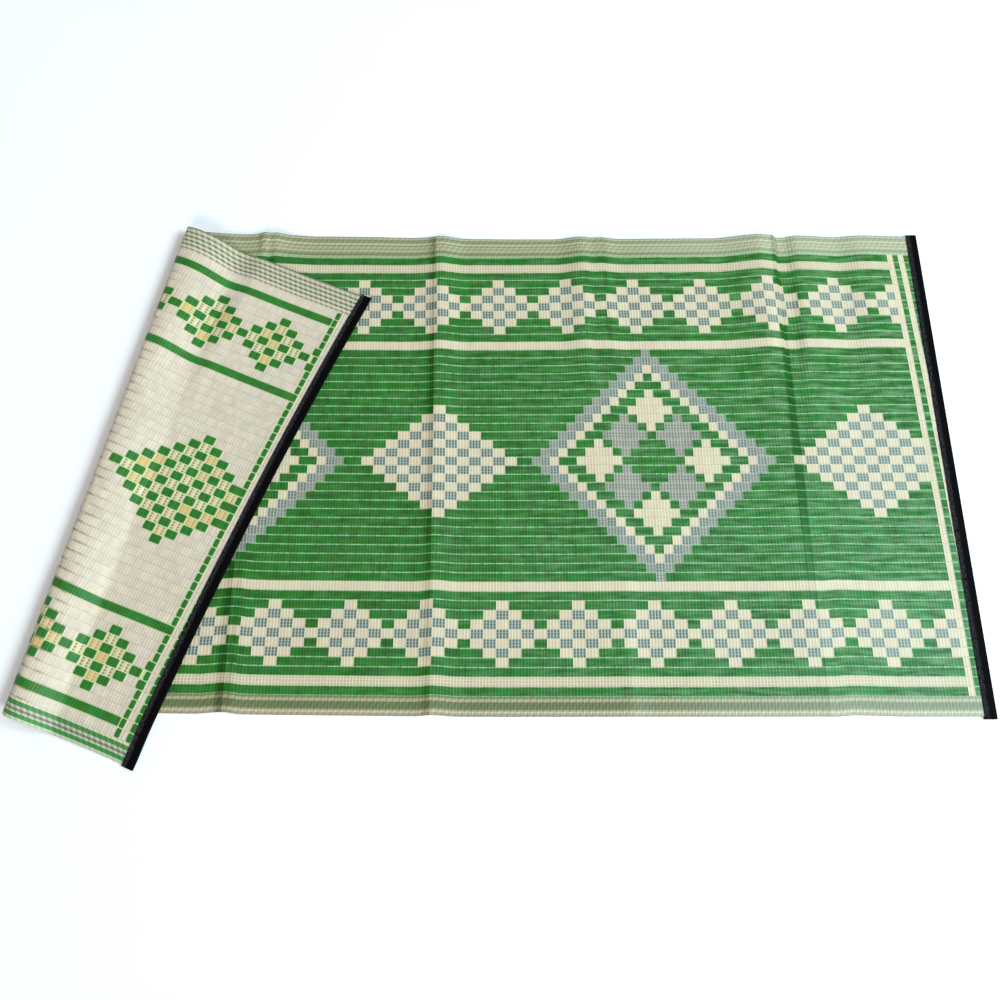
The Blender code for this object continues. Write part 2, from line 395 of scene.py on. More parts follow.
def chart(straw, row):
    """The kind of straw on the face at a counted straw and row."""
    if any(line <= straw < line + LINE_STRAWS for line in PLAIN_END_LINES + FOLDED_END_LINES):
        return CREAM
    if straw >= PLAIN_END_LINES[0] or straw < FOLDED_END_LINES[0]:
        return GREEN
    if row in CREAM_ROWS:
        return CREAM
    if row in DOTTED_ROWS:
        return DOTTED
    if abs(row - FIELD_ROW) <= FIELD_HALF:
        return field_at(straw, row)
    return band_at(straw, row)


for row in range(BAND_ROWS[0] - 3, BAND_ROWS[0] + 4):
    print("".join(".#x"[chart(straw, row)] for straw in range(-26, 1, 1)))

# %% [markdown]
# ## Fold marks
# The mat was sold folded, and its folds are pressed in, as ridges or as grooves between two swells.
# The solid model has only their low ridges. The cloth here adds what is sharper: swells, and straws
# that are pulled sideways. Beside each mark the straws also get a painted shade, on its shaded side
# and in its groove, partly their own bruising, and a painted highlight just past it. Each mark is one
# line of a small table, measured from the pattern's own straws, and even curves carry it across the mat.

# %% Swells, pulls, and bruises with painted shade and highlight
# Place at both selvedges; height at the far one, in the middle and at the near one; and reach towards
# the folded end and towards the plain end
Swell = namedtuple("Swell", "x_far x_near far middle near before after")
SWELLS = (
    Swell(-0.264, -0.279, -0.0100, -0.0024, -0.0012, 0.011, 0.030),
    Swell(-0.305, -0.305, 0.0085, 0.0010, 0.0008, 0.090, 0.032),
    Swell(-0.225, -0.240, 0.0070, 0.0010, 0.0006, 0.026, 0.090),
    Swell(-0.105, -0.105, 0.0060, 0.0000, 0.0000, 0.050, 0.100),
    Swell(-0.648, -0.640, 0.0060, 0.0004, 0.0004, 0.050, 0.026),
    Swell(-0.920, -0.925, 0.0050, 0.0022, 0.0016, 0.018, 0.050),
    Swell(-1.245, -1.253, 0.0060, 0.0028, 0.0030, 0.018, 0.080),
    Swell(-1.460, -1.620, 0.0045, 0.0035, 0.0020, 0.050, 0.030),
    Swell(-1.600, -1.607, 0.0080, 0.0025, 0.0006, 0.045, 0.070),
)

# Beside its folds the cloth is also drawn in a little across the mat: where, how far at the far side,
# in the middle and at the near side, and its reach
Pull = namedtuple("Pull", "x_far x_near far middle near before after")
PULLS = (
    Pull(-0.235, -0.235, 0.0000, 0.0000, 0.0020, 0.030, 0.090),
    Pull(-0.925, -0.925, 0.0000, 0.0000, 0.0020, 0.030, 0.040),
    Pull(-1.262, -1.268, 0.0000, 0.0000, 0.0030, 0.045, 0.030),
    Pull(-1.250, -1.250, 0.0035, 0.0035, 0.0035, 0.140, 0.450),
    Pull(-1.640, -1.640, 0.0000, 0.0000, -0.0040, 0.200, 0.140),
)
# The near side is drawn in too, all along the part that lies on the floor
NEAR_DRAW = 0.0024
NEAR_DRAW_FROM = -0.30
NEAR_DRAW_OVER = 0.15
LYING_FROM = -1.45
LYING_OVER = 0.10

# Beside a mark the straws get a painted shade, on its shaded side and in its groove, partly their own
# bruising: where this starts and ends, how soft its start is, how strong it is across the mat, and how
# strong the painted highlight on the straws just past it is
BruiseAndShade = namedtuple("BruiseAndShade", "x_far x_near start end soft far middle near rubbed")
BRUISES_AND_SHADES = (
    BruiseAndShade(-0.264, -0.277, -0.017, 0.003, 0.007, 0.50, 0.70, 0.24, 0.00),
    BruiseAndShade(-0.609, -0.598, -0.001, 0.014, 0.004, 0.25, 0.00, 0.00, 0.00),
    BruiseAndShade(-0.930, -0.928, -0.021, -0.001, 0.016, 0.60, 0.80, 0.35, 0.60),
    BruiseAndShade(-1.276, -1.267, -0.020, 0.000, 0.012, 0.00, 1.00, 0.85, 0.20),
)
BRUISE_AND_SHADE_EDGE = 0.003
HIGHLIGHT_OVER = 0.004

# %% How the marks shape the sheet
# A mark has the value of its edge from this share of the way out to a selvedge
EDGE_SHARE = 1.0 / 1.6

# A ridge of the far selvedge alone, beside the fold: height, place, reach, and where it starts
EDGE_RIDGE = 0.0075
EDGE_RIDGE_AT = -1.268
EDGE_RIDGE_BEFORE = 0.018
EDGE_RIDGE_AFTER = 0.060
EDGE_RIDGE_FROM = 0.405
EDGE_RIDGE_OVER = 0.055

# Where the flap lies on the ridge under it: how far it presses it down, and over which stretch
WEIGHT = 0.0022
WEIGHT_AT = -1.247
WEIGHT_REACH = 0.050
WEIGHT_NEAR = -0.14
WEIGHT_NEAR_OVER = 0.09
WEIGHT_FAR = 0.43
WEIGHT_FAR_OVER = 0.05


def across_mat(part, y):
    """Goes from a mark's middle value to those it has at the two selvedges."""
    side = 2.0 * share_across(y) - 1.0
    edge = np.where(side > 0.0, part.far, part.near)
    return blend(part.middle, edge, smooth_step(np.abs(side) / EDGE_SHARE))


def offset_from(part, x, y):
    return x - blend(part.x_near, part.x_far, share_across(y))


def bump_at(part, x, y):
    """One even bump, or a hollow, along a mark."""
    offset = offset_from(part, x, y)
    reach = np.where(offset < 0.0, part.before, part.after)
    return across_mat(part, y) * (1.0 - smooth_step(np.abs(offset) / reach))


def edge_ridge(x, y):
    """Beside the fold the outermost stretch of the far selvedge stands up in a ridge of its own."""
    offset = x - EDGE_RIDGE_AT
    reach = np.where(offset < 0.0, EDGE_RIDGE_BEFORE, EDGE_RIDGE_AFTER)
    along = 1.0 - smooth_step(np.abs(offset) / reach)
    return EDGE_RIDGE * along * smooth_step((y - EDGE_RIDGE_FROM) / EDGE_RIDGE_OVER)


def weighed_down(x, y):
    """How far the flap's weight presses down the ridge that crosses the mat under it."""
    along = 1.0 - smooth_step(np.abs(x - WEIGHT_AT) / WEIGHT_REACH)
    from_near = smooth_step((y - WEIGHT_NEAR) / WEIGHT_NEAR_OVER)
    return WEIGHT * along * from_near * smooth_step((WEIGHT_FAR - y) / WEIGHT_FAR_OVER)


def mark_height(x, y):
    """Height that the fold marks add to the sheet, which never sinks into the floor."""
    height = sum(bump_at(swell, x, y) for swell in SWELLS) + edge_ridge(x, y) - weighed_down(x, y)
    return np.where(x > FOLD_X + RUN_IN, np.maximum(height, -lying_height(x, y)), height)


def drawn_in(x, y):
    """How far the cloth is drawn towards the far side."""
    pulled = sum(bump_at(pull, x, y) for pull in PULLS)
    lying = smooth_step((x - LYING_FROM) / LYING_OVER)
    return pulled + NEAR_DRAW * lying * smooth_step((NEAR_DRAW_FROM - y) / NEAR_DRAW_OVER)


def mark_shade(x, y):
    """1 where a mark's painted shade and bruising are darkest, and -1 where its painted highlight is
    palest.
    """
    shade = 0.0
    for bruise_and_shade in BRUISES_AND_SHADES:
        offset = offset_from(bruise_and_shade, x, y)
        # Painted shade: the straws on a mark's shaded side and in its groove are darkened, partly their
        # own bruising
        dark = smooth_step((offset - bruise_and_shade.start) / bruise_and_shade.soft)
        dark = dark * smooth_step((bruise_and_shade.end - offset) / BRUISE_AND_SHADE_EDGE)
        # Painted highlight: the straws just past a mark are made paler
        past = np.abs(offset - bruise_and_shade.end - BRUISE_AND_SHADE_EDGE)
        pale = bruise_and_shade.rubbed * np.maximum(0.0, 1.0 - past / HIGHLIGHT_OVER)
        shade = shade + across_mat(bruise_and_shade, y) * (dark - pale)
    return np.clip(shade, -1.0, 1.0)


# %% [markdown]
# ## The woven cloth
# The cloth starts as a flat grid whose corners stand at counts of straws and rows, so every cell of
# the chart gets faces of its own. It is extruded by one unit to make a closed sheet. At this stage
# its coordinates are the weave's own, and they are kept as its UV map before the points are carried
# to the floor, so that the pattern follows the cloth through every fold.
# Each row swells between its warp threads, which is part of the mesh. Single straws are finer than
# a mesh of this size can hold, and are left to the material's bump.

# %% The grid's columns and lines
FIRST_COLUMN = 28
LAST_COLUMN = -310
FAN_COLUMNS = 3
FINE_STEPS = 3
FINE_STRETCHES = ((-0.294, -0.264), (-0.950, -0.920), (-1.286, -1.250))
LINES_PER_ROW = 2
LINES_PER_SELVEDGE_ROW = 4


def inner_columns():
    """A column on every straw, and three to a straw where a fold mark has sharp edges."""
    columns = []
    for straw in range(FIRST_COLUMN, LAST_COLUMN, -1):
        x = x_of_straw(straw - 0.5, CENTRE_ROW)
        steps = FINE_STEPS if any(low < x < high for low, high in FINE_STRETCHES) else 1
        columns += [straw - step / steps for step in range(steps)]
    return columns + [LAST_COLUMN]


INNER = inner_columns()


def straw_of_column(column, row):
    """Columns stand at fixed straws, but the last few at each end fan out to the cut edge."""
    y = y_of_row(row, 0.0)
    if column < FAN_COLUMNS:
        return blend(straw_at(plain_end(y), row), FIRST_COLUMN, column / FAN_COLUMNS)
    past = column - FAN_COLUMNS - len(INNER) + 1
    if past <= 0:
        return INNER[column - FAN_COLUMNS]
    return blend(LAST_COLUMN, straw_at(folded_end(y), row), past / FAN_COLUMNS)


def lines_between(start, end, per_row):
    return list(np.arange(start, end, 1.0 / per_row))


columns = len(INNER) + 2 * FAN_COLUMNS
lines = (
    lines_between(FIRST_ROW, FAR_SELVEDGE_ROW, LINES_PER_SELVEDGE_ROW)
    + lines_between(FAR_SELVEDGE_ROW, NEAR_SELVEDGE_ROW, LINES_PER_ROW)
    + lines_between(NEAR_SELVEDGE_ROW, LAST_ROW, LINES_PER_SELVEDGE_ROW)
    + [LAST_ROW]
)
print(f"{columns} columns and {len(lines)} lines")

# %% The relief of the weave
RELIEF = 0.0003
STRAW_RELIEF = 0.00015
WAVE = 0.0006
WAVE_LENGTH = 0.11

# Straws differ a little in thickness: each sinks by its own share of STRAW_RELIEF
random = np.random.default_rng(27)
straw_sink = random.uniform(0.0, STRAW_RELIEF, 400)


def weave_sink(straw, row):
    """How far the surface lies below the crown of the rows: most at the warp threads."""
    in_selvedge = (row < FAR_SELVEDGE_ROW) | (row > NEAR_SELVEDGE_ROW)
    ribs = np.where(in_selvedge, 2.0, 1.0)
    groove = np.cos(math.pi * ribs * row) ** 2
    return RELIEF * groove + straw_sink[np.round(straw).astype(int)]


def waviness(x, y):
    """Straw that has been rolled up never lies quite flat: it stands up a little here and there."""
    # Odd factors keep the two waves from falling into step, so the swells look scattered
    turn_x, turn_y = x * math.tau / WAVE_LENGTH, y * math.tau / (1.7 * WAVE_LENGTH)
    wave = np.sin(turn_x + 1.3 * np.sin(0.7 * turn_y)) * np.sin(turn_y + 0.9 * np.sin(0.45 * turn_x))
    return WAVE * 0.5 * (1.0 + wave)


def sheet_place(chart_points):
    """Where points of the chart lie on the flat sheet."""
    straw, row, _ = chart_points.T
    x = x_of_straw(straw, row)
    return x, y_of_row(row, x)


def cloth_place(chart_points):
    """Carries points from the chart, with 0 for the underside and 1 for the face, to the floor."""
    straw, row, side = chart_points.T
    x, y = sheet_place(chart_points)
    sink = weave_sink(straw, row)
    height = np.where(side > 0.5, SHEET - sink, sink) + waviness(x, y) + mark_height(x, y)
    return above_sheet(x, y + drawn_in(x, y), height)


# %% Build the cloth
LONGEST_CELL = 5


def cell_ends(straw, row):
    """The straws between which a cell of one kind runs, looking no further than a few straws."""
    kind = chart(straw, row)
    start, end = straw, straw + 1
    while chart(start - 1, row) == kind and straw - start < LONGEST_CELL:
        start -= 1
    while chart(end, row) == kind and end - straw < LONGEST_CELL:
        end += 1
    return start, end


def new_object(name, shape, materials):
    """Makes a finished bmesh an object at the origin, with its place in its mesh."""
    mesh = bpy.data.meshes.new(name)
    shape.to_mesh(mesh)
    shape.free()
    for material in materials:
        mesh.materials.append(material)
    mesh.shade_smooth()
    piece = bpy.data.objects.new(name, mesh)
    bpy.context.scene.collection.objects.link(piece)
    print(f"{name}: {len(mesh.polygons)} faces")
    return piece


def mark_cells(cloth):
    """Writes each face's kind, and at its corners how many straws they are from the cell's ends."""
    weave = cloth.loops.layers.uv.new("weave")
    kind = cloth.faces.layers.float.new("kind")
    cell = cloth.faces.layers.float.new("cell")
    from_end = cloth.loops.layers.float.new("from_end")
    known = {}
    for face in cloth.faces:
        middle = face.calc_center_median()
        place = (math.floor(middle.x), math.floor(middle.y))
        if place not in known:
            known[place] = (chart(*place), *cell_ends(*place))
        face[kind], start, end = known[place]
        face[cell] = start
        face.material_index = 1 if middle.z < 0.1 else 0
        for loop in face.loops:
            loop[weave].uv = loop.vert.co.xy
            loop[from_end] = min(loop.vert.co.x - start, end - loop.vert.co.x)


def build_cloth():
    cloth = bmesh.new()
    bmesh.ops.create_grid(cloth, x_segments=columns - 1, y_segments=len(lines) - 1, size=0.5)
    for vert in cloth.verts:
        column = round((0.5 - vert.co.x) * (columns - 1))
        row = lines[round((0.5 - vert.co.y) * (len(lines) - 1))]
        vert.co = (straw_of_column(column, row), row, 0.0)
    shell = bmesh.ops.extrude_face_region(cloth, geom=cloth.faces[:], use_keep_orig=True)
    face_side = [item for item in shell["geom"] if isinstance(item, bmesh.types.BMVert)]
    bmesh.ops.translate(cloth, verts=face_side, vec=(0.0, 0.0, 1.0))
    mark_cells(cloth)
    # Each point keeps the fold marks' painted shade, with the straws' bruising, and their painted
    # highlight as negative values
    pressed = cloth.verts.layers.float.new("pressed")
    chart_points = np.array([vert.co for vert in cloth.verts])
    places = cloth_place(chart_points)
    shades = mark_shade(*sheet_place(chart_points))
    for vert, place, shade in zip(cloth.verts, places, shades):
        vert.co = place
        vert[pressed] = shade
    bmesh.ops.recalc_face_normals(cloth, faces=cloth.faces)
    return cloth


# %% [markdown]
# ## The plastic straw
# The straw is polypropylene, extruded as a thin tube and pressed flat by the loom. It has the soft,
# waxy sheen of that plastic: an IOR of 1.49 and a middling roughness. Each straw took its dye a
# little differently, so the green shows fine upright streaks. The warp threads run along the mat,
# one between every two rows, and show as thin pale lines on green.
# A material could hold every motif as a picture, but here the mesh already knows the kind of straw
# of each face, so the kinds only pick their colours from a small table, one for each face of the mat.

# %% Colours and a helper for nodes
def linear(hex_colour):
    """An sRGB hex colour as the linear values that shaders take."""
    channels = [int(hex_colour[i:i + 2], 16) / 255.0 for i in (1, 3, 5)]
    light = [c / 12.92 if c <= 0.04045 else ((c + 0.055) / 1.055) ** 2.4 for c in channels]
    return (*light, 1.0)


def add_node(tree, kind, inputs=None, **settings):
    """Adds a node, applies its settings, and links or sets its inputs."""
    node = tree.nodes.new(kind)
    for name, value in settings.items():
        setattr(node, name, value)
    for socket, value in (inputs or {}).items():
        if isinstance(value, bpy.types.NodeSocket):
            tree.links.new(value, node.inputs[socket])
        else:
            node.inputs[socket].default_value = value
    return node


def fill_ramp(node, stops):
    """Sets a colour ramp's stops, given as (position, hex colour, alpha), with hard steps."""
    ramp = node.color_ramp
    ramp.interpolation = "CONSTANT"
    while len(ramp.elements) < len(stops):
        ramp.elements.new(1.0)
    for element, (position, colour, alpha) in zip(ramp.elements, stops):
        element.position = position
        element.color = (*linear(colour)[:3], alpha)


def empty_material(name):
    material = bpy.data.materials.new(name)
    material.use_nodes = True
    material.node_tree.nodes.clear()
    return material


# %% The straws' colours on both faces
# A kind's straw colour and how streaky its dye is; then, each with its strength, the bars that run up
# its straws, the warp threads beside its rows, and the two finer threads that cross each row
Kind = namedtuple("Kind", "straw streaks bar bar_strength thread thread_strength cross cross_strength")
FACE_KINDS = (
    Kind("#286a1e", 0.42, "#1c5416", 0.40, "#9ac291", 0.88, "#478140", 0.10),
    Kind("#dacbaa", 0.06, "#bfa486", 0.50, "#bdb191", 0.45, "#c3bc99", 0.20),
    Kind("#a3aa9a", 0.12, "#2f3e38", 0.85, "#bfc4ac", 0.70, "#a2aa98", 0.60),
    Kind("#b0ab99", 0.12, "#66665b", 0.68, "#b4b6a6", 0.60, "#64685d", 0.52),
    Kind("#a8a896", 0.12, "#6c7067", 0.68, "#b3b7a4", 0.65, "#696f64", 0.45),
    Kind("#a2a597", 0.12, "#434c45", 0.80, "#b2b8a5", 0.70, "#9ca294", 0.60),
    Kind("#d4c5a3", 0.05, "#a38c72", 0.60, "#bfb192", 0.50, "#d4c5a5", 0.90),
)
BACK_KINDS = (
    Kind("#d3c4ad", 0.10, "#c6b49e", 0.50, "#a3967f", 0.28, "#bfba9e", 0.30),
    Kind("#2c7025", 0.26, "#1f5f1c", 0.40, "#4a8c40", 0.25, "#2c7025", 0.00),
    Kind("#d2cda0", 0.08, "#8f6144", 0.80, "#ced6a0", 0.60, "#d3cda4", 0.90),
    Kind("#cac4a6", 0.08, "#a08658", 0.55, "#d0d4a6", 0.50, "#cdc6a4", 0.70),
    Kind("#cac4a6", 0.08, "#a08658", 0.55, "#d0d4a6", 0.50, "#cdc6a4", 0.70),
    Kind("#cac4a6", 0.08, "#94663c", 0.70, "#d0d4a6", 0.50, "#cdc6a4", 0.80),
    Kind("#2c7025", 0.26, "#1f5f1c", 0.40, "#4a8c40", 0.25, "#2c7025", 0.00),
)

# %% The selvedges' cords
# The share of the selvedge's width at which each cord begins, outer edge first, then its colour, and
# how strongly the straws that cross it dot it
FACE_FAR = (
    (0.000, "#beb897", 0.2), (0.110, "#8f8f6b", 0.3), (0.300, "#baba93", 0.2), (0.380, "#90916d", 0.4),
    (0.450, "#aeaa87", 0.3), (0.550, "#a39c7a", 0.3), (0.650, "#b8b491", 0.2), (0.710, "#8f916b", 0.3),
    (0.800, "#778257", 0.3), (0.880, "#9eac7f", 0.2),
)
FACE_NEAR = (
    (0.000, "#788154", 0.3), (0.120, "#aca17f", 0.3), (0.280, "#6c744a", 0.4), (0.660, "#a09878", 0.3),
    (0.750, "#c7b99a", 0.2), (0.830, "#aa9e80", 0.3), (0.910, "#978a73", 0.3),
)
BACK_FAR = (
    (0.000, "#8c8c6e", 0.4), (0.060, "#cabfa4", 0.3), (0.190, "#879070", 0.9), (0.260, "#ccc0a6", 0.3),
    (0.370, "#828d6c", 0.9), (0.440, "#cbc0a4", 0.3), (0.550, "#8a9372", 0.9), (0.620, "#cdc1a8", 0.3),
    (0.720, "#8d8d74", 0.9), (0.790, "#d1c3ab", 0.2), (0.900, "#a29678", 0.7), (0.950, "#d3c5ae", 0.2),
)
BACK_NEAR = (
    (0.000, "#cdc6ae", 0.2), (0.120, "#47893f", 0.6), (0.330, "#bdbaa2", 0.5), (0.450, "#82836e", 0.8),
    (0.560, "#bdbaa2", 0.4), (0.660, "#388a36", 0.5), (0.850, "#b3c2a2", 0.2),
)
Side = namedtuple("Side", "kinds far near")
FACE_SIDE = Side(FACE_KINDS, FACE_FAR, FACE_NEAR)
BACK_SIDE = Side(BACK_KINDS, BACK_FAR, BACK_NEAR)


def kind_ramp(tree, kind, rows):
    """A ramp that gives each kind of straw its row of the table."""
    pick = add_node(
        tree, "ShaderNodeMath", {0: kind, 1: 1.0 / len(rows), 2: 0.5 / len(rows)},
        operation="MULTIPLY_ADD",
    ).outputs[0]
    ramp = add_node(tree, "ShaderNodeValToRGB", {"Fac": pick})
    fill_ramp(ramp, [(index / len(rows), colour, alpha) for index, (colour, alpha) in enumerate(rows)])
    return ramp


# %% [markdown]
# ## Where a point is in the weave
# The UV map counts straws and rows. The whole part of such a number names one straw or row, which
# gets a shade of its own, and the fraction says where in it a point is. Bars, gaps and threads are
# made from those fractions, so they stay sharp however near the camera comes, and follow every fold.

# %% Places and patterns in the weave
Spot = namedtuple("Spot", "weave straw row off_straw off_row whole_straw whole_row from_end kind pressed")


def off_middle(tree, count):
    """How far a point is from the middle of its straw, or of its row, up to a half."""
    part = add_node(tree, "ShaderNodeMath", {0: count}, operation="FRACT")
    part = add_node(tree, "ShaderNodeMath", {0: part.outputs[0], 1: 0.5}, operation="SUBTRACT")
    return add_node(tree, "ShaderNodeMath", {0: part.outputs[0]}, operation="ABSOLUTE").outputs[0]


def weave_spot(tree):
    """All that the weave's map and the mesh's attributes say about a point."""
    weave = add_node(tree, "ShaderNodeUVMap", uv_map="weave").outputs[0]
    count = add_node(tree, "ShaderNodeSeparateXYZ", {0: weave})
    straw, row = count.outputs[0], count.outputs[1]
    whole = [
        add_node(tree, "ShaderNodeMath", {0: part}, operation="FLOOR").outputs[0]
        for part in (straw, row)
    ]
    known = [
        add_node(tree, "ShaderNodeAttribute", attribute_name=name).outputs["Fac"]
        for name in ("from_end", "kind", "pressed")
    ]
    return Spot(weave, straw, row, off_middle(tree, straw), off_middle(tree, row), *whole, *known)


def stretched_noise(tree, place, repeats, detail):
    """Soft noise with so many repeats along each of its two directions."""
    place = add_node(tree, "ShaderNodeMapping", {0: place, 3: (*repeats, 1.0)})
    noise = add_node(
        tree, "ShaderNodeTexNoise", {"Vector": place.outputs[0], "Scale": 1.0, "Detail": detail},
        noise_dimensions="2D",
    )
    return noise.outputs[0]


# %% [markdown]
# ## Dye, wear and painted sheen
# Straw is dyed in lots and woven in whatever order it comes, so single straws, short stretches of a
# row and wider patches are a little paler or deeper. Handling rubs a pale haze into the surface, and a
# painted sheen makes the haze grow towards the plain end. Both are soft noise, stretched over a counted
# number of straws and rows.

# %% Dye
# Repeats per straw and per row. Streaks come out about 22 mm by 18 mm, patches 154 mm by 165 mm and
# the haze 54 mm by 7.5 mm
STREAKS = (0.24, 0.9)
PATCHES = (0.035, 0.10)
HAZE_STREAKS = (0.10, 2.2)


def dyed_straw(tree, spot, straws):
    """The straw's own colour, streaked by its dye."""
    segment = add_node(tree, "ShaderNodeCombineXYZ", {0: spot.whole_straw, 1: spot.whole_row})
    tone = add_node(
        tree, "ShaderNodeTexWhiteNoise", {0: segment.outputs[0]}, noise_dimensions="2D",
    ).outputs[0]
    streaks = stretched_noise(tree, spot.weave, STREAKS, 3.0)
    patches = stretched_noise(tree, spot.weave, PATCHES, 2.0)
    tones = add_node(
        tree, "ShaderNodeMath", {0: tone, 1: 0.3, 2: streaks}, operation="MULTIPLY_ADD",
    ).outputs[0]
    tones = add_node(
        tree, "ShaderNodeMath", {0: patches, 1: 0.4, 2: tones}, operation="MULTIPLY_ADD",
    ).outputs[0]
    tones = add_node(
        tree, "ShaderNodeMapRange", {0: tones, 1: 0.50, 2: 1.20, 3: -1.0, 4: 1.0},
    ).outputs[0]
    brightness = add_node(
        tree, "ShaderNodeMath", {0: tones, 1: straws.outputs[1], 2: 1.0}, operation="MULTIPLY_ADD",
    ).outputs[0]
    hue = add_node(tree, "ShaderNodeMapRange", {0: tone, 3: 0.485, 4: 0.515}).outputs[0]
    return add_node(
        tree, "ShaderNodeHueSaturation", {"Hue": hue, "Value": brightness, "Color": straws.outputs[0]},
    ).outputs[0]


def haze_and_painted_sheen(tree, spot, straws, colour):
    """A pale haze along the rows of streaky straw, partly scuffing, which a painted sheen makes grow
    towards the plain end.
    """
    haze = stretched_noise(tree, spot.weave, HAZE_STREAKS, 4.0)
    haze = add_node(tree, "ShaderNodeMapRange", {0: haze, 1: 0.40, 2: 0.70}).outputs[0]
    # Painted sheen: the haze grows towards the plain end
    painted_sheen_along_mat = add_node(
        tree, "ShaderNodeMapRange", {0: spot.straw, 1: -210.0, 2: 10.0, 3: 0.06, 4: 0.72},
    ).outputs[0]
    # The straws of a fold mark, bruised and with painted shade, lie deeper, where nothing rubs them: they
    # get no haze and no painted sheen
    outside_crease_shade = add_node(
        tree, "ShaderNodeMapRange", {0: spot.pressed, 1: 0.0, 2: 0.5, 3: 1.0, 4: 0.0},
    ).outputs[0]
    for share in (painted_sheen_along_mat, straws.outputs[1], outside_crease_shade):
        haze = add_node(tree, "ShaderNodeMath", {0: haze, 1: share}, operation="MULTIPLY").outputs[0]
    return add_node(
        tree, "ShaderNodeMix", {0: haze, 6: colour, 7: linear("#a8c99c")}, data_type="RGBA",
    ).outputs[2]


# %% [markdown]
# ## Bars and threads
# A straw is a pressed tube, so a darker bar shows along its middle. Each row is crossed by two fine
# threads, and a warp thread lies between every two rows. A smooth step on a distance turns it into
# such a line with soft edges, and its strength comes from the kind's row in the table.

# %% Bars and fine threads
# Where a bar's edge begins and where the bar is whole, in straws from its middle
BAR_ON_FACE = (0.37, 0.18)
BAR_ON_BACK = (0.55, 0.25)


def barred(tree, spot, bars, colour, is_back):
    """A bar runs up each straw; on the back the straws of a motif come up in pairs."""
    middle, edges = spot.off_straw, BAR_ON_FACE
    if is_back:
        middle = add_node(tree, "ShaderNodeMath", {0: spot.from_end, 1: 1.0}, operation="SUBTRACT")
        middle = add_node(tree, "ShaderNodeMath", {0: middle.outputs[0]}, operation="ABSOLUTE").outputs[0]
        edges = BAR_ON_BACK
    share = add_node(
        tree, "ShaderNodeMapRange", {0: middle, 1: edges[0], 2: edges[1]},
        interpolation_type="SMOOTHSTEP",
    ).outputs[0]
    # Towards the plain end the bars are painted paler too, a painted sheen
    painted_sheen_fade = add_node(
        tree, "ShaderNodeMapRange", {0: spot.straw, 1: -70.0, 2: 10.0, 3: 1.0, 4: 0.72},
    ).outputs[0]
    for part in (bars.outputs[1], painted_sheen_fade):
        share = add_node(tree, "ShaderNodeMath", {0: share, 1: part}, operation="MULTIPLY").outputs[0]
    return add_node(
        tree, "ShaderNodeMix", {0: share, 6: colour, 7: bars.outputs[0]}, data_type="RGBA",
    ).outputs[2]


def crossed(tree, spot, crosses, colour):
    """Two fine threads cross each row, at its thirds."""
    thirds = add_node(tree, "ShaderNodeMath", {0: spot.row, 1: 3.0}, operation="MULTIPLY").outputs[0]
    share = add_node(
        tree, "ShaderNodeMapRange", {0: off_middle(tree, thirds), 1: 0.26, 2: 0.42},
        interpolation_type="SMOOTHSTEP",
    ).outputs[0]
    share = add_node(
        tree, "ShaderNodeMath", {0: share, 1: crosses.outputs[1]}, operation="MULTIPLY",
    ).outputs[0]
    return add_node(
        tree, "ShaderNodeMix", {0: share, 6: colour, 7: crosses.outputs[0]}, data_type="RGBA",
    ).outputs[2]


# %% Warp threads
# Where a warp thread's edge begins and where it is whole, in rows from a row's middle
THREAD_ON_FACE = 0.405
THREAD_ON_BACK = 0.35
THREAD_WHOLE = 0.46


def warp_glint(tree, spot):
    """Each stretch of a warp thread over one straw catches the light in its own way."""
    near_row = add_node(tree, "ShaderNodeMath", {0: spot.row, 1: 0.5}, operation="ADD")
    near_row = add_node(tree, "ShaderNodeMath", {0: near_row.outputs[0]}, operation="FLOOR").outputs[0]
    stretch = add_node(tree, "ShaderNodeCombineXYZ", {0: spot.whole_straw, 1: near_row})
    glint = add_node(tree, "ShaderNodeTexWhiteNoise", {0: stretch.outputs[0]}, noise_dimensions="2D")
    return add_node(tree, "ShaderNodeMapRange", {0: glint.outputs[0], 3: 0.45, 4: 1.0}).outputs[0]


def threaded(tree, threads, on_thread, glint, colour):
    """Lays the warp threads over the straws."""
    share = on_thread
    for part in (threads.outputs[1], glint):
        share = add_node(tree, "ShaderNodeMath", {0: share, 1: part}, operation="MULTIPLY").outputs[0]
    return add_node(
        tree, "ShaderNodeMix", {0: share, 6: colour, 7: threads.outputs[0]}, data_type="RGBA",
    ).outputs[2]


# %% [markdown]
# ## What only the back shows
# On the back the cells of a motif have soft corners, because each straw there dives under its
# neighbours a little before the cell ends. Some of their pale cells are woven with yellow straw. Round
# the fold the rows are stretched apart, and broken brown dashes of painted shade darken the gaps.

# %% Cells on the back
# In millimetres: a cell's soft corner, and where its pale rim begins and ends
SOFT_CORNER = 3.4
RIM_FROM = 0.0
RIM_TO = 1.5
RIM_STRENGTH = 0.9


def inside_cell(tree, spot):
    """How many millimetres a point lies inside its cell's outline, up to the soft corner's size."""
    along = add_node(
        tree, "ShaderNodeMapRange",
        {0: spot.from_end, 1: 0.0, 2: SOFT_CORNER / (1000.0 * STRAW), 3: SOFT_CORNER, 4: 0.0},
    ).outputs[0]
    across = add_node(
        tree, "ShaderNodeMapRange",
        {0: spot.off_row, 1: 0.5, 2: 0.5 - SOFT_CORNER / (1000.0 * ROW), 3: SOFT_CORNER, 4: 0.0},
    ).outputs[0]
    corner = add_node(tree, "ShaderNodeCombineXYZ", {0: along, 1: across})
    corner = add_node(tree, "ShaderNodeVectorMath", {0: corner.outputs[0]}, operation="LENGTH")
    return add_node(
        tree, "ShaderNodeMath", {0: SOFT_CORNER, 1: corner.outputs["Value"]}, operation="SUBTRACT",
    ).outputs[0]


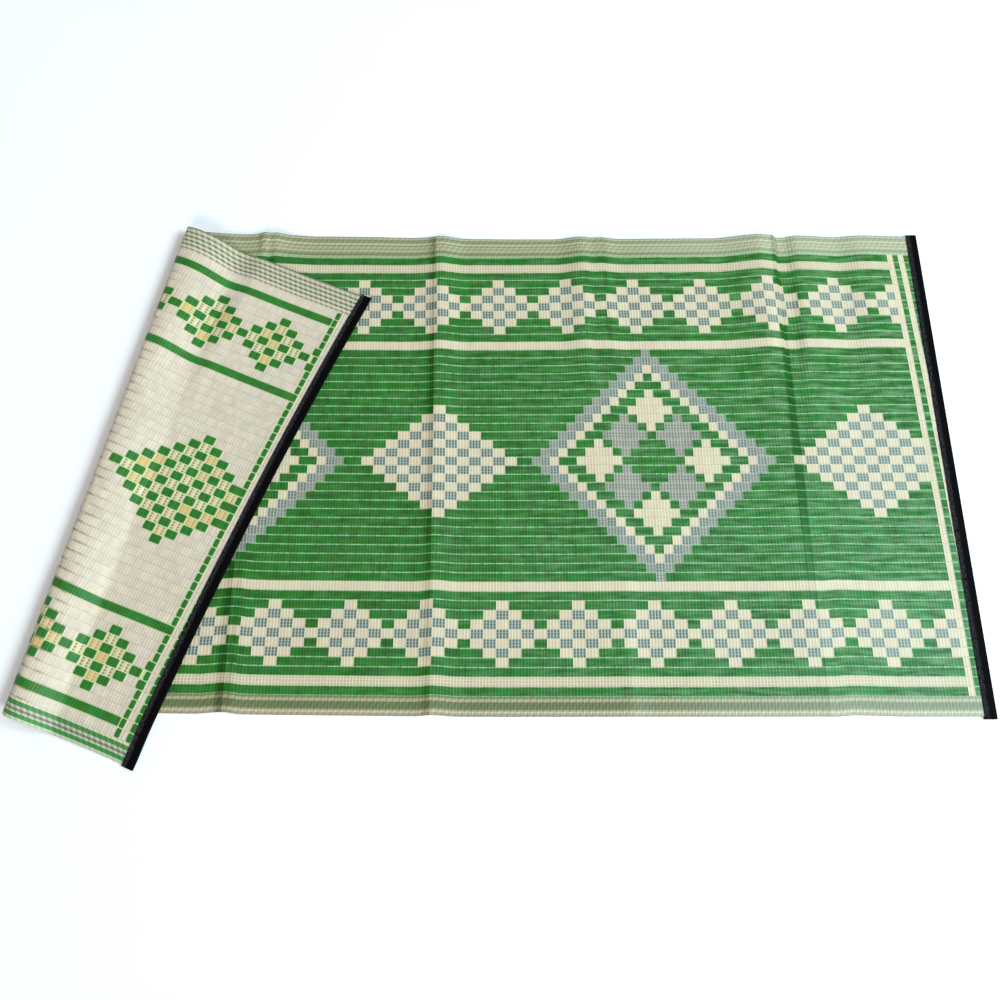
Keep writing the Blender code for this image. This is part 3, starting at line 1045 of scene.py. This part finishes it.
def back_cells(tree, spot, surface):
    """Turns some cells on the back yellow, and gives all of them pale rims and soft corners."""
    in_motif = add_node(
        tree, "ShaderNodeMath", {0: spot.kind, 1: 0.5}, operation="GREATER_THAN",
    ).outputs[0]
    is_hatch = add_node(
        tree, "ShaderNodeMath", {0: spot.kind, 1: float(HATCH), 2: 0.5}, operation="COMPARE",
    ).outputs[0]
    cell = add_node(tree, "ShaderNodeAttribute", attribute_name="cell").outputs["Fac"]
    cell = add_node(tree, "ShaderNodeCombineXYZ", {0: cell, 1: spot.whole_row})
    lot = add_node(tree, "ShaderNodeTexWhiteNoise", {0: cell.outputs[0]}, noise_dimensions="2D")
    yellow = add_node(
        tree, "ShaderNodeMapRange", {0: lot.outputs[0], 1: 0.55, 2: 0.95, 4: 0.80},
    ).outputs[0]
    yellow = add_node(tree, "ShaderNodeMath", {0: yellow, 1: is_hatch}, operation="MULTIPLY").outputs[0]
    surface = add_node(
        tree, "ShaderNodeMix", {0: yellow, 6: surface, 7: linear("#d2b066")}, data_type="RGBA",
    ).outputs[2]

    inside = inside_cell(tree, spot)
    rim = add_node(
        tree, "ShaderNodeMapRange", {0: inside, 1: RIM_FROM, 2: RIM_TO, 3: 1.0, 4: 0.0},
        interpolation_type="SMOOTHSTEP",
    ).outputs[0]
    for part in (in_motif, RIM_STRENGTH):
        rim = add_node(tree, "ShaderNodeMath", {0: rim, 1: part}, operation="MULTIPLY").outputs[0]
    surface = add_node(
        tree, "ShaderNodeMix", {0: rim, 6: surface, 7: linear("#c3cf93")}, data_type="RGBA",
    ).outputs[2]
    outside = add_node(
        tree, "ShaderNodeMapRange", {0: inside, 1: -0.2, 2: -1.2}, interpolation_type="SMOOTHSTEP",
    ).outputs[0]
    outside = add_node(tree, "ShaderNodeMath", {0: outside, 1: in_motif}, operation="MULTIPLY")
    ground = linear(BACK_KINDS[GREEN].straw)
    return add_node(
        tree, "ShaderNodeMix", {0: outside.outputs[0], 6: surface, 7: ground}, data_type="RGBA",
    ).outputs[2]


# %% Painted shade round the fold
# The fold's line across the chart: its straw on the middle row, and how many straws it gains per row
FOLD_STRAW = -246.0
FOLD_SLOPE = 0.645

# Repeats per straw and per row: a dash is about 34 mm long
DASHES = (0.16, 1.0)


def fold_gap_shade(tree, spot, glint, surface):
    """Round the fold the rows gape a little, and broken brown dashes of painted shade darken the gaps
    between them.
    """
    line = add_node(
        tree, "ShaderNodeMath", {0: spot.row, 1: FOLD_SLOPE, 2: -FOLD_STRAW - CENTRE_ROW * FOLD_SLOPE},
        operation="MULTIPLY_ADD",
    ).outputs[0]
    from_fold = add_node(tree, "ShaderNodeMath", {0: spot.straw, 1: line}, operation="ADD").outputs[0]
    share = add_node(
        tree, "ShaderNodeMapRange", {0: from_fold, 1: -19.0, 2: -9.0}, interpolation_type="SMOOTHSTEP",
    ).outputs[0]
    # Painted shade: brown dashes in the gaps between the rows
    gape = add_node(
        tree, "ShaderNodeMapRange", {0: spot.off_row, 1: 0.30, 2: 0.44}, interpolation_type="SMOOTHSTEP",
    ).outputs[0]
    dashes = stretched_noise(tree, spot.weave, DASHES, 2.0)
    dashes = add_node(tree, "ShaderNodeMapRange", {0: dashes, 1: 0.36, 2: 0.56, 4: 0.85}).outputs[0]
    for part in (gape, dashes, glint):
        share = add_node(tree, "ShaderNodeMath", {0: share, 1: part}, operation="MULTIPLY").outputs[0]
    return add_node(
        tree, "ShaderNodeMix", {0: share, 6: surface, 7: linear("#7d6648")}, data_type="RGBA",
    ).outputs[2]


# %% [markdown]
# ## Selvedges and fold marks
# The selvedges are woven of thicker cords that run the length of the mat. One ramp across each
# selvedge gives every cord its colour, and a slanting pattern of dots stands for the straws that pass
# over and under them. Towards the plain end a painted sheen makes the cords paler. Last, a painted
# shade darkens the straws on a fold mark's shaded side and in its groove, partly their own bruising, and
# a painted highlight makes those just past it paler, by the shade that the mesh gives each point.

# %% Cords of the selvedges
DOT_STRENGTH = 0.85


def cord_colours(tree, spot, side):
    """The cords' colours, how strongly they are dotted, and 1 within a selvedge."""
    far_share = add_node(
        tree, "ShaderNodeMapRange", {0: spot.row, 1: FIRST_ROW, 2: FAR_SELVEDGE_ROW},
    ).outputs[0]
    near_share = add_node(
        tree, "ShaderNodeMapRange", {0: spot.row, 1: NEAR_SELVEDGE_ROW, 2: LAST_ROW},
    ).outputs[0]
    far = add_node(tree, "ShaderNodeValToRGB", {"Fac": far_share})
    fill_ramp(far, side.far)
    near = add_node(tree, "ShaderNodeValToRGB", {"Fac": near_share})
    fill_ramp(near, side.near)
    in_far = add_node(
        tree, "ShaderNodeMath", {0: spot.row, 1: FAR_SELVEDGE_ROW}, operation="LESS_THAN",
    ).outputs[0]
    in_near = add_node(
        tree, "ShaderNodeMath", {0: spot.row, 1: NEAR_SELVEDGE_ROW}, operation="GREATER_THAN",
    ).outputs[0]
    colour = add_node(
        tree, "ShaderNodeMix", {0: in_far, 6: near.outputs[0], 7: far.outputs[0]}, data_type="RGBA",
    ).outputs[2]
    dots = add_node(tree, "ShaderNodeMix", {0: in_far, 2: near.outputs[1], 3: far.outputs[1]}).outputs[0]
    in_selvedge = add_node(tree, "ShaderNodeMath", {0: in_far, 1: in_near}, operation="ADD").outputs[0]
    return colour, dots, in_selvedge


def with_selvedges(tree, spot, side, surface):
    """Lays the cords over the weave, dotted on a slant and painted paler towards the plain end, a painted
    sheen.
    """
    colour, dots, in_selvedge = cord_colours(tree, spot, side)
    slant = add_node(
        tree, "ShaderNodeMath", {0: spot.row, 1: 2.0, 2: spot.straw}, operation="MULTIPLY_ADD",
    )
    slant = add_node(tree, "ShaderNodeMath", {0: slant.outputs[0], 1: 0.5}, operation="MULTIPLY")
    slant = add_node(tree, "ShaderNodeMath", {0: slant.outputs[0]}, operation="FRACT")
    dot = add_node(
        tree, "ShaderNodeMapRange", {0: slant.outputs[0], 1: 0.35, 2: 0.65},
        interpolation_type="SMOOTHSTEP",
    ).outputs[0]
    for part in (dots, DOT_STRENGTH):
        dot = add_node(tree, "ShaderNodeMath", {0: dot, 1: part}, operation="MULTIPLY").outputs[0]
    colour = add_node(
        tree, "ShaderNodeMix", {0: dot, 6: colour, 7: linear("#4a5a3c")}, data_type="RGBA",
    ).outputs[2]
    # Painted sheen: the cords turn paler towards the plain end
    painted_sheen = add_node(
        tree, "ShaderNodeMapRange", {0: spot.straw, 1: -90.0, 2: -15.0, 4: 0.135},
    ).outputs[0]
    colour = add_node(
        tree, "ShaderNodeMix", {0: painted_sheen, 6: colour, 7: linear("#f2f5d8")}, data_type="RGBA",
    ).outputs[2]
    return add_node(
        tree, "ShaderNodeMix", {0: in_selvedge, 6: surface, 7: colour}, data_type="RGBA",
    ).outputs[2]


# %% The shade of fold marks
def fold_shade(tree, spot, straws, colour):
    """Painted shade darkens and deepens the straws of a fold mark, most of all the green ones, partly
    their own bruising, and a painted highlight makes others paler.
    """
    shows = add_node(
        tree, "ShaderNodeMath", {0: straws.outputs[1], 1: 1.5, 2: 0.35}, operation="MULTIPLY_ADD",
    ).outputs[0]
    pressed = add_node(
        tree, "ShaderNodeMath", {0: spot.pressed, 1: shows}, operation="MULTIPLY",
    ).outputs[0]
    # Painted shade and painted highlight of the fold marks, as a change of value and saturation
    shade_value = add_node(tree, "ShaderNodeMapRange", {0: pressed, 1: -1.0, 2: 1.0, 3: 1.65, 4: 0.35}).outputs[0]
    deep = add_node(tree, "ShaderNodeMapRange", {0: pressed, 1: 0.0, 2: 0.6, 3: 1.0, 4: 1.09}).outputs[0]
    return add_node(
        tree, "ShaderNodeHueSaturation", {"Saturation": deep, "Value": shade_value, "Color": colour},
    ).outputs[0]


# %% Put the straw together
def weave_bump(tree, spot, on_thread):
    """Relief too fine for the mesh: straws are rounded, and the warp threads press them down."""
    round_straw = add_node(
        tree, "ShaderNodeMapRange", {0: spot.off_straw, 1: 0.5, 2: 0.15},
        interpolation_type="SMOOTHERSTEP",
    ).outputs[0]
    height = add_node(
        tree, "ShaderNodeMath", {0: on_thread, 1: -0.6, 2: round_straw}, operation="MULTIPLY_ADD",
    )
    return add_node(
        tree, "ShaderNodeBump", {"Height": height.outputs[0], "Distance": 0.0005, "Strength": 0.6},
    ).outputs[0]


def woven_straw(name, side):
    """Polypropylene straw, woven: gives a soft waxy sheen, fine upright streaks and thin threads."""
    is_back = side is BACK_SIDE
    material = empty_material(name)
    tree = material.node_tree
    spot = weave_spot(tree)
    straws = kind_ramp(tree, spot.kind, [(each.straw, each.streaks) for each in side.kinds])
    bars = kind_ramp(tree, spot.kind, [(each.bar, each.bar_strength) for each in side.kinds])
    threads = kind_ramp(tree, spot.kind, [(each.thread, each.thread_strength) for each in side.kinds])
    crosses = kind_ramp(tree, spot.kind, [(each.cross, each.cross_strength) for each in side.kinds])
    on_thread = add_node(
        tree, "ShaderNodeMapRange",
        {0: spot.off_row, 1: THREAD_ON_BACK if is_back else THREAD_ON_FACE, 2: THREAD_WHOLE},
        interpolation_type="SMOOTHSTEP",
    ).outputs[0]
    glint = warp_glint(tree, spot)

    surface = dyed_straw(tree, spot, straws)
    surface = haze_and_painted_sheen(tree, spot, straws, surface)
    surface = barred(tree, spot, bars, surface, is_back)
    surface = crossed(tree, spot, crosses, surface)
    surface = threaded(tree, threads, on_thread, glint, surface)
    if is_back:
        surface = back_cells(tree, spot, surface)
        surface = fold_gap_shade(tree, spot, glint, surface)
    surface = with_selvedges(tree, spot, side, surface)
    shader = add_node(
        tree, "ShaderNodeBsdfPrincipled",
        {
            "Base Color": fold_shade(tree, spot, straws, surface), "Roughness": 0.45, "IOR": 1.49,
            "Specular IOR Level": 0.3, "Normal": weave_bump(tree, spot, on_thread),
        },
    )
    add_node(tree, "ShaderNodeOutputMaterial", {0: shader.outputs[0]})
    print(f"{name}: {len(tree.nodes)} nodes")
    return material


# %% Weave both faces
green_face = woven_straw("woven polypropylene straw, green face", FACE_SIDE)
cream_back = woven_straw("woven polypropylene straw, cream back", BACK_SIDE)
mat = new_object("woven_straw_cloth", build_cloth(), [green_face, cream_back])

# %% [markdown]
# ## The binding tape
# Each short end is closed with a woven tape, folded in half over the cut straws and sewn through.
# Its outside is again a grid, laid along the end and round the cut edge. The ribs of the tape run
# along it, its two edges are turned in, and the seam draws it down a little at every stitch.
# A Solidify modifier then gives it its thickness towards the mat.

# %% The tape's section, from one turned-in edge round the cut to the other
TAPE_STEPS_ALONG = 300
TAPE_STEPS_AROUND = 48
RIBS = 9
RIB_HEIGHT = 0.00018
SEAM_FROM_EDGE = 0.0035
SEAM_DEPTH = 0.00035
SEAM_WIDTH = 0.0011
STITCH_PITCH = 0.0062
HALF_THICK = (SHEET + 2.0 * (CLEARANCE + TAPE)) / 2.0
ROUND_LENGTH = math.pi * HALF_THICK
ROUND_CENTRE = HALF_THICK - CLEARANCE - TAPE
FLAT_LENGTH = TAPE_WIDTH - ROUND_CENTRE
TAPE_CUT_WIDTH = 2.0 * FLAT_LENGTH + ROUND_LENGTH


def tape_section(around, outward):
    """(depth behind the cut edge, height over the underside) at a length around the tape's outside."""
    turn = np.clip((around - FLAT_LENGTH) / ROUND_LENGTH, 0.0, 1.0) * math.pi
    before = np.maximum(FLAT_LENGTH - around, 0.0)
    after = np.maximum(around - FLAT_LENGTH - ROUND_LENGTH, 0.0)
    radius = HALF_THICK + outward
    depth = ROUND_CENTRE - radius * np.sin(turn) + before + after
    height = SHEET / 2.0 + radius * np.cos(turn)
    return depth, height


def tape_relief(around, along):
    """How far the tape's outside stands below its widest section: ribs, and the seam's pull."""
    ribs = RIB_HEIGHT * np.cos(math.pi * RIBS * 2.0 * around / TAPE_CUT_WIDTH) ** 2
    from_edge = np.minimum(around, TAPE_CUT_WIDTH - around)
    seam = np.exp(-(((from_edge - SEAM_FROM_EDGE) / SEAM_WIDTH) ** 2))
    pull = 0.55 + 0.45 * np.cos(math.tau * along / STITCH_PITCH)
    return ribs + SEAM_DEPTH * seam * pull


print(f"the tape is {TAPE_CUT_WIDTH * 1000:.0f} mm wide before it is folded")

# %% Build the tapes
def tape_points(cut_edge, inward, along, around, sunk):
    """Places on a tape: along is its length from the near end, and around goes over its outside."""
    y = along - HALF_WIDTH_NEAR - TAPE_OVERHANG
    depth, height = tape_section(around, -sunk)
    return above_sheet(cut_edge(y) + inward * depth, y, height)


def tape_length(cut_edge):
    x = cut_edge(0.0)
    far = HALF_WIDTH_FAR + BULGE * smooth_step((x - BULGE_FROM) / (BULGE_TO - BULGE_FROM))
    return float(far + HALF_WIDTH_NEAR + 2.0 * TAPE_OVERHANG)


def build_tape(name, cut_edge, inward, material):
    length = tape_length(cut_edge)
    tape = bmesh.new()
    bmesh.ops.create_grid(tape, x_segments=TAPE_STEPS_ALONG, y_segments=TAPE_STEPS_AROUND, size=0.5)
    bmesh.ops.translate(tape, verts=tape.verts, vec=(0.5, 0.5, 0.0))
    bmesh.ops.scale(tape, verts=tape.verts, vec=(length, TAPE_CUT_WIDTH, 1.0))
    cut = tape.loops.layers.uv.new("cut")
    for face in tape.faces:
        for loop in face.loops:
            loop[cut].uv = loop.vert.co.xy
    along, around = np.array([vert.co.xy for vert in tape.verts]).T
    places = tape_points(cut_edge, inward, along, around, tape_relief(around, along))
    for vert, place in zip(tape.verts, places):
        vert.co = place
    if inward < 0.0:
        bmesh.ops.reverse_faces(tape, faces=tape.faces)
    piece = new_object(name, tape, [material])
    wall = piece.modifiers.new("thickness", "SOLIDIFY")
    wall.thickness = TAPE
    wall.offset = -1.0
    return piece


# %% The tape's material
# Worn spots, as repeats per metre of tape: about 7 mm long and 1.7 mm wide
WEAR_SPOTS = (140.0, 600.0)

# How far the rubbing reaches from the tape's edges, and how far it is at its full strength
RUBBED_TO = 0.0095
RUBBED_WHOLLY_TO = 0.0060


def binding_tape(name):
    """Woven polypropylene tape: matt black with fine ribs, scuffed greyer beside its seam."""
    material = empty_material(name)
    tree = material.node_tree
    cut = add_node(tree, "ShaderNodeUVMap", uv_map="cut")
    # Small bumps stand for its threads: the crosswise weft repeats every 1.6 mm, the warp every 1 mm
    weft_place = add_node(tree, "ShaderNodeMapping", {0: cut.outputs[0], 3: (1250.0, 1.0, 1.0)})
    weft = add_node(tree, "ShaderNodeSeparateXYZ", {0: weft_place.outputs[0]})
    weft = add_node(tree, "ShaderNodeMath", {0: weft.outputs[0], 1: 1.0}, operation="PINGPONG").outputs[0]
    warp_place = add_node(tree, "ShaderNodeMapping", {0: cut.outputs[0], 3: (1.0, 2000.0, 1.0)})
    warp = add_node(tree, "ShaderNodeSeparateXYZ", {0: warp_place.outputs[0]})
    warp = add_node(tree, "ShaderNodeMath", {0: warp.outputs[1], 1: 1.0}, operation="PINGPONG").outputs[0]
    threads = add_node(tree, "ShaderNodeMath", {0: weft, 1: warp}, operation="MULTIPLY").outputs[0]
    # The half of each side that lies on the mat, where the seam is, is rubbed greyer in places
    around = add_node(tree, "ShaderNodeSeparateXYZ", {0: cut.outputs[0]}).outputs[1]
    from_edge = add_node(
        tree, "ShaderNodeMath", {0: around, 1: TAPE_CUT_WIDTH / 2.0}, operation="PINGPONG",
    ).outputs[0]
    inner_half = add_node(
        tree, "ShaderNodeMapRange", {0: from_edge, 1: RUBBED_TO, 2: RUBBED_WHOLLY_TO},
        interpolation_type="SMOOTHSTEP",
    ).outputs[0]
    wear = stretched_noise(tree, cut.outputs[0], WEAR_SPOTS, 3.0)
    rubbed = add_node(tree, "ShaderNodeMapRange", {0: wear, 1: 0.35, 2: 0.75}).outputs[0]
    rubbed = add_node(tree, "ShaderNodeMath", {0: rubbed, 1: inner_half}, operation="MULTIPLY").outputs[0]
    colour = add_node(tree, "ShaderNodeValToRGB", {"Fac": rubbed})
    colour.color_ramp.elements[0].position = 0.0
    colour.color_ramp.elements[0].color = linear("#040303")
    colour.color_ramp.elements[1].position = 0.9
    colour.color_ramp.elements[1].color = linear("#38343a")
    bump = add_node(tree, "ShaderNodeBump", {"Height": threads, "Distance": 0.0002, "Strength": 0.6})
    shader = add_node(
        tree, "ShaderNodeBsdfPrincipled",
        {
            "Base Color": colour.outputs[0], "Roughness": 0.75, "Specular IOR Level": 0.06,
            "Normal": bump.outputs[0],
        },
    )
    add_node(tree, "ShaderNodeOutputMaterial", {0: shader.outputs[0]})
    return material


black_tape = binding_tape("woven polypropylene binding tape, black")
plain_tape = build_tape("plain_end_tape", plain_end, -1.0, black_tape)
folded_tape = build_tape("folded_end_tape", folded_end, 1.0, black_tape)

# %% [markdown]
# ## The stitches
# The tape is lock-stitched with black sewing thread, one stitch about every six millimetres. A stitch
# is a short thread that sinks into the cloth at both ends, so each one is a small stretched ball, and
# all the stitches of a seam are joined in one mesh.

# %% Build the stitches
STITCH_LENGTH = 0.0046
STITCH_THICK = 0.0007


def build_stitches(name, cut_edge, inward, material):
    seams = bmesh.new()
    length = tape_length(cut_edge)
    middles = np.arange(STITCH_PITCH, length - STITCH_PITCH / 2.0, STITCH_PITCH)
    reach = STITCH_LENGTH / 2.0
    for edge in (SEAM_FROM_EDGE, TAPE_CUT_WIDTH - SEAM_FROM_EDGE):
        around = np.full(len(middles), edge)
        sunk = tape_relief(around, middles) * 0.5
        starts = tape_points(cut_edge, inward, middles - reach, around, sunk)
        ends = tape_points(cut_edge, inward, middles + reach, around, sunk)
        for start, end in zip(starts, ends):
            direction = Vector(end - start)
            stitch = bmesh.ops.create_uvsphere(seams, u_segments=6, v_segments=5, radius=0.5)["verts"]
            bmesh.ops.scale(seams, verts=stitch, vec=(STITCH_THICK, STITCH_THICK, STITCH_LENGTH))
            turn = direction.to_track_quat("Z", "Y").to_matrix()
            bmesh.ops.rotate(seams, verts=stitch, matrix=turn)
            bmesh.ops.translate(seams, verts=stitch, vec=Vector((start + end) / 2.0))
    return new_object(name, seams, [material])


def sewing_thread(name):
    """Polyester sewing thread: a little glossier than the tape, so that the seam catches light."""
    material = empty_material(name)
    tree = material.node_tree
    place = add_node(tree, "ShaderNodeTexCoord")
    twist = add_node(
        tree, "ShaderNodeTexNoise", {"Vector": place.outputs["Object"], "Scale": 900.0, "Detail": 2.0}
    )
    bump = add_node(
        tree, "ShaderNodeBump", {"Height": twist.outputs[0], "Distance": 0.0002, "Strength": 0.4}
    )
    shader = add_node(
        tree, "ShaderNodeBsdfPrincipled",
        {"Base Color": linear("#2a2533"), "Roughness": 0.45, "Normal": bump.outputs[0]},
    )
    add_node(tree, "ShaderNodeOutputMaterial", {0: shader.outputs[0]})
    return material


black_thread = sewing_thread("polyester sewing thread, black")
plain_seam = build_stitches("plain_end_stitches", plain_end, -1.0, black_thread)
folded_seam = build_stitches("folded_end_stitches", folded_end, 1.0, black_thread)

# %% [markdown]
# ## What stands for what
# The new cloth and tapes stand for the plain solids. The mat has no joints, so all of them ride on
# its one body.

# %% Tie the pieces to the solid model
for piece, node, slot in (
    (mat, "woven_mat", "woven_straw"),
    (plain_tape, "plain_end_binding", "binding_tape"),
    (folded_tape, "folded_end_binding", "binding_tape"),
):
    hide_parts(node)
    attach(piece, "root")
for seam in (plain_seam, folded_seam):
    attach(seam, "root")

# %% [markdown]
# ## Floor, camera and light
# The mat lies on a plain pale floor. The camera stands over its near long side and looks down, at
# the photo's angle. Its place was worked out on the flat sheet's own axes, so it moves with them.
# White surroundings fill the shadows softly. A broad light from the right and a lower one from the
# near side give the folds their shape, and a cool window adds the paler, bluer sheen on the right.

# %% The floor
FLOOR_SIZE = 12.0


def studio_floor(name):
    """Matt white studio floor: even and almost without gloss, so that it stays plain."""
    material = empty_material(name)
    tree = material.node_tree
    shader = add_node(
        tree, "ShaderNodeBsdfPrincipled", {"Base Color": linear("#fbfbfa"), "Roughness": 0.9},
    )
    add_node(tree, "ShaderNodeOutputMaterial", {0: shader.outputs[0]})
    return material


def build_floor():
    ground = bmesh.new()
    bmesh.ops.create_grid(ground, x_segments=1, y_segments=1, size=FLOOR_SIZE / 2.0)
    bmesh.ops.translate(ground, verts=ground.verts, vec=(0.0, 0.0, -CLEARANCE))
    return new_object("floor", ground, [studio_floor("matt white studio floor")])


build_floor()

# %% The camera
# Place in metres on the flat sheet's axes, and turns in degrees
EYE = (-0.8382, -0.5482, 1.4346)
TILT = (18.173, 0.668, 0.014)

# Focal length and sensor in millimetres, and the frame's shift as a share of its width
LENS = 30.6
SENSOR = 36.0
SHIFT_X = 0.025

view = bpy.data.cameras.new("view from above")
view.lens = LENS
view.sensor_width = SENSOR
view.shift_x = SHIFT_X
view.clip_start = 0.05
camera = bpy.data.objects.new("view from above", view)
camera.location = (EYE[0] + MOVE_X, EYE[1] + MOVE_Y, EYE[2])
camera.rotation_euler = Euler([math.radians(angle) for angle in TILT])
bpy.context.scene.collection.objects.link(camera)
bpy.context.scene.camera = camera

# %% The light
SURROUNDINGS = 0.31

world = bpy.data.worlds.new("soft white surroundings")
world.use_nodes = True
world.node_tree.nodes.clear()
sky = add_node(
    world.node_tree, "ShaderNodeBackground", {"Color": linear("#ffffff"), "Strength": SURROUNDINGS},
)
add_node(world.node_tree, "ShaderNodeOutputWorld", {0: sky.outputs[0]})
bpy.context.scene.world = world


def softbox(name, place, size, power, colour):
    """A square lamp that looks at the middle of the mat."""
    lamp = bpy.data.lights.new(name, "AREA")
    lamp.color = colour
    lamp.size = size
    lamp.energy = power
    holder = bpy.data.objects.new(name, lamp)
    holder.location = place
    holder.rotation_euler = (-Vector(place)).to_track_quat("-Z", "Y").to_euler()
    bpy.context.scene.collection.objects.link(holder)


def key_light(name, place, strength, softness):
    """A distant lamp that shines from the side of a place towards the mat."""
    lamp = bpy.data.lights.new(name, "SUN")
    lamp.energy = strength
    lamp.angle = math.radians(softness)
    holder = bpy.data.objects.new(name, lamp)
    holder.rotation_euler = (-Vector(place)).to_track_quat("-Z", "Y").to_euler()
    bpy.context.scene.collection.objects.link(holder)


key_light("key light from the right", (1.1, -0.7, 1.2), 1.5, 16.0)
key_light("low light from the near side", (0.1, -1.6, 1.0), 1.2, 16.0)
softbox("window on the right", (2.3, -0.3, 2.4), 1.6, 92.0, (0.50, 0.80, 1.00))
bpy.context.scene.view_settings.view_transform = "Standard"
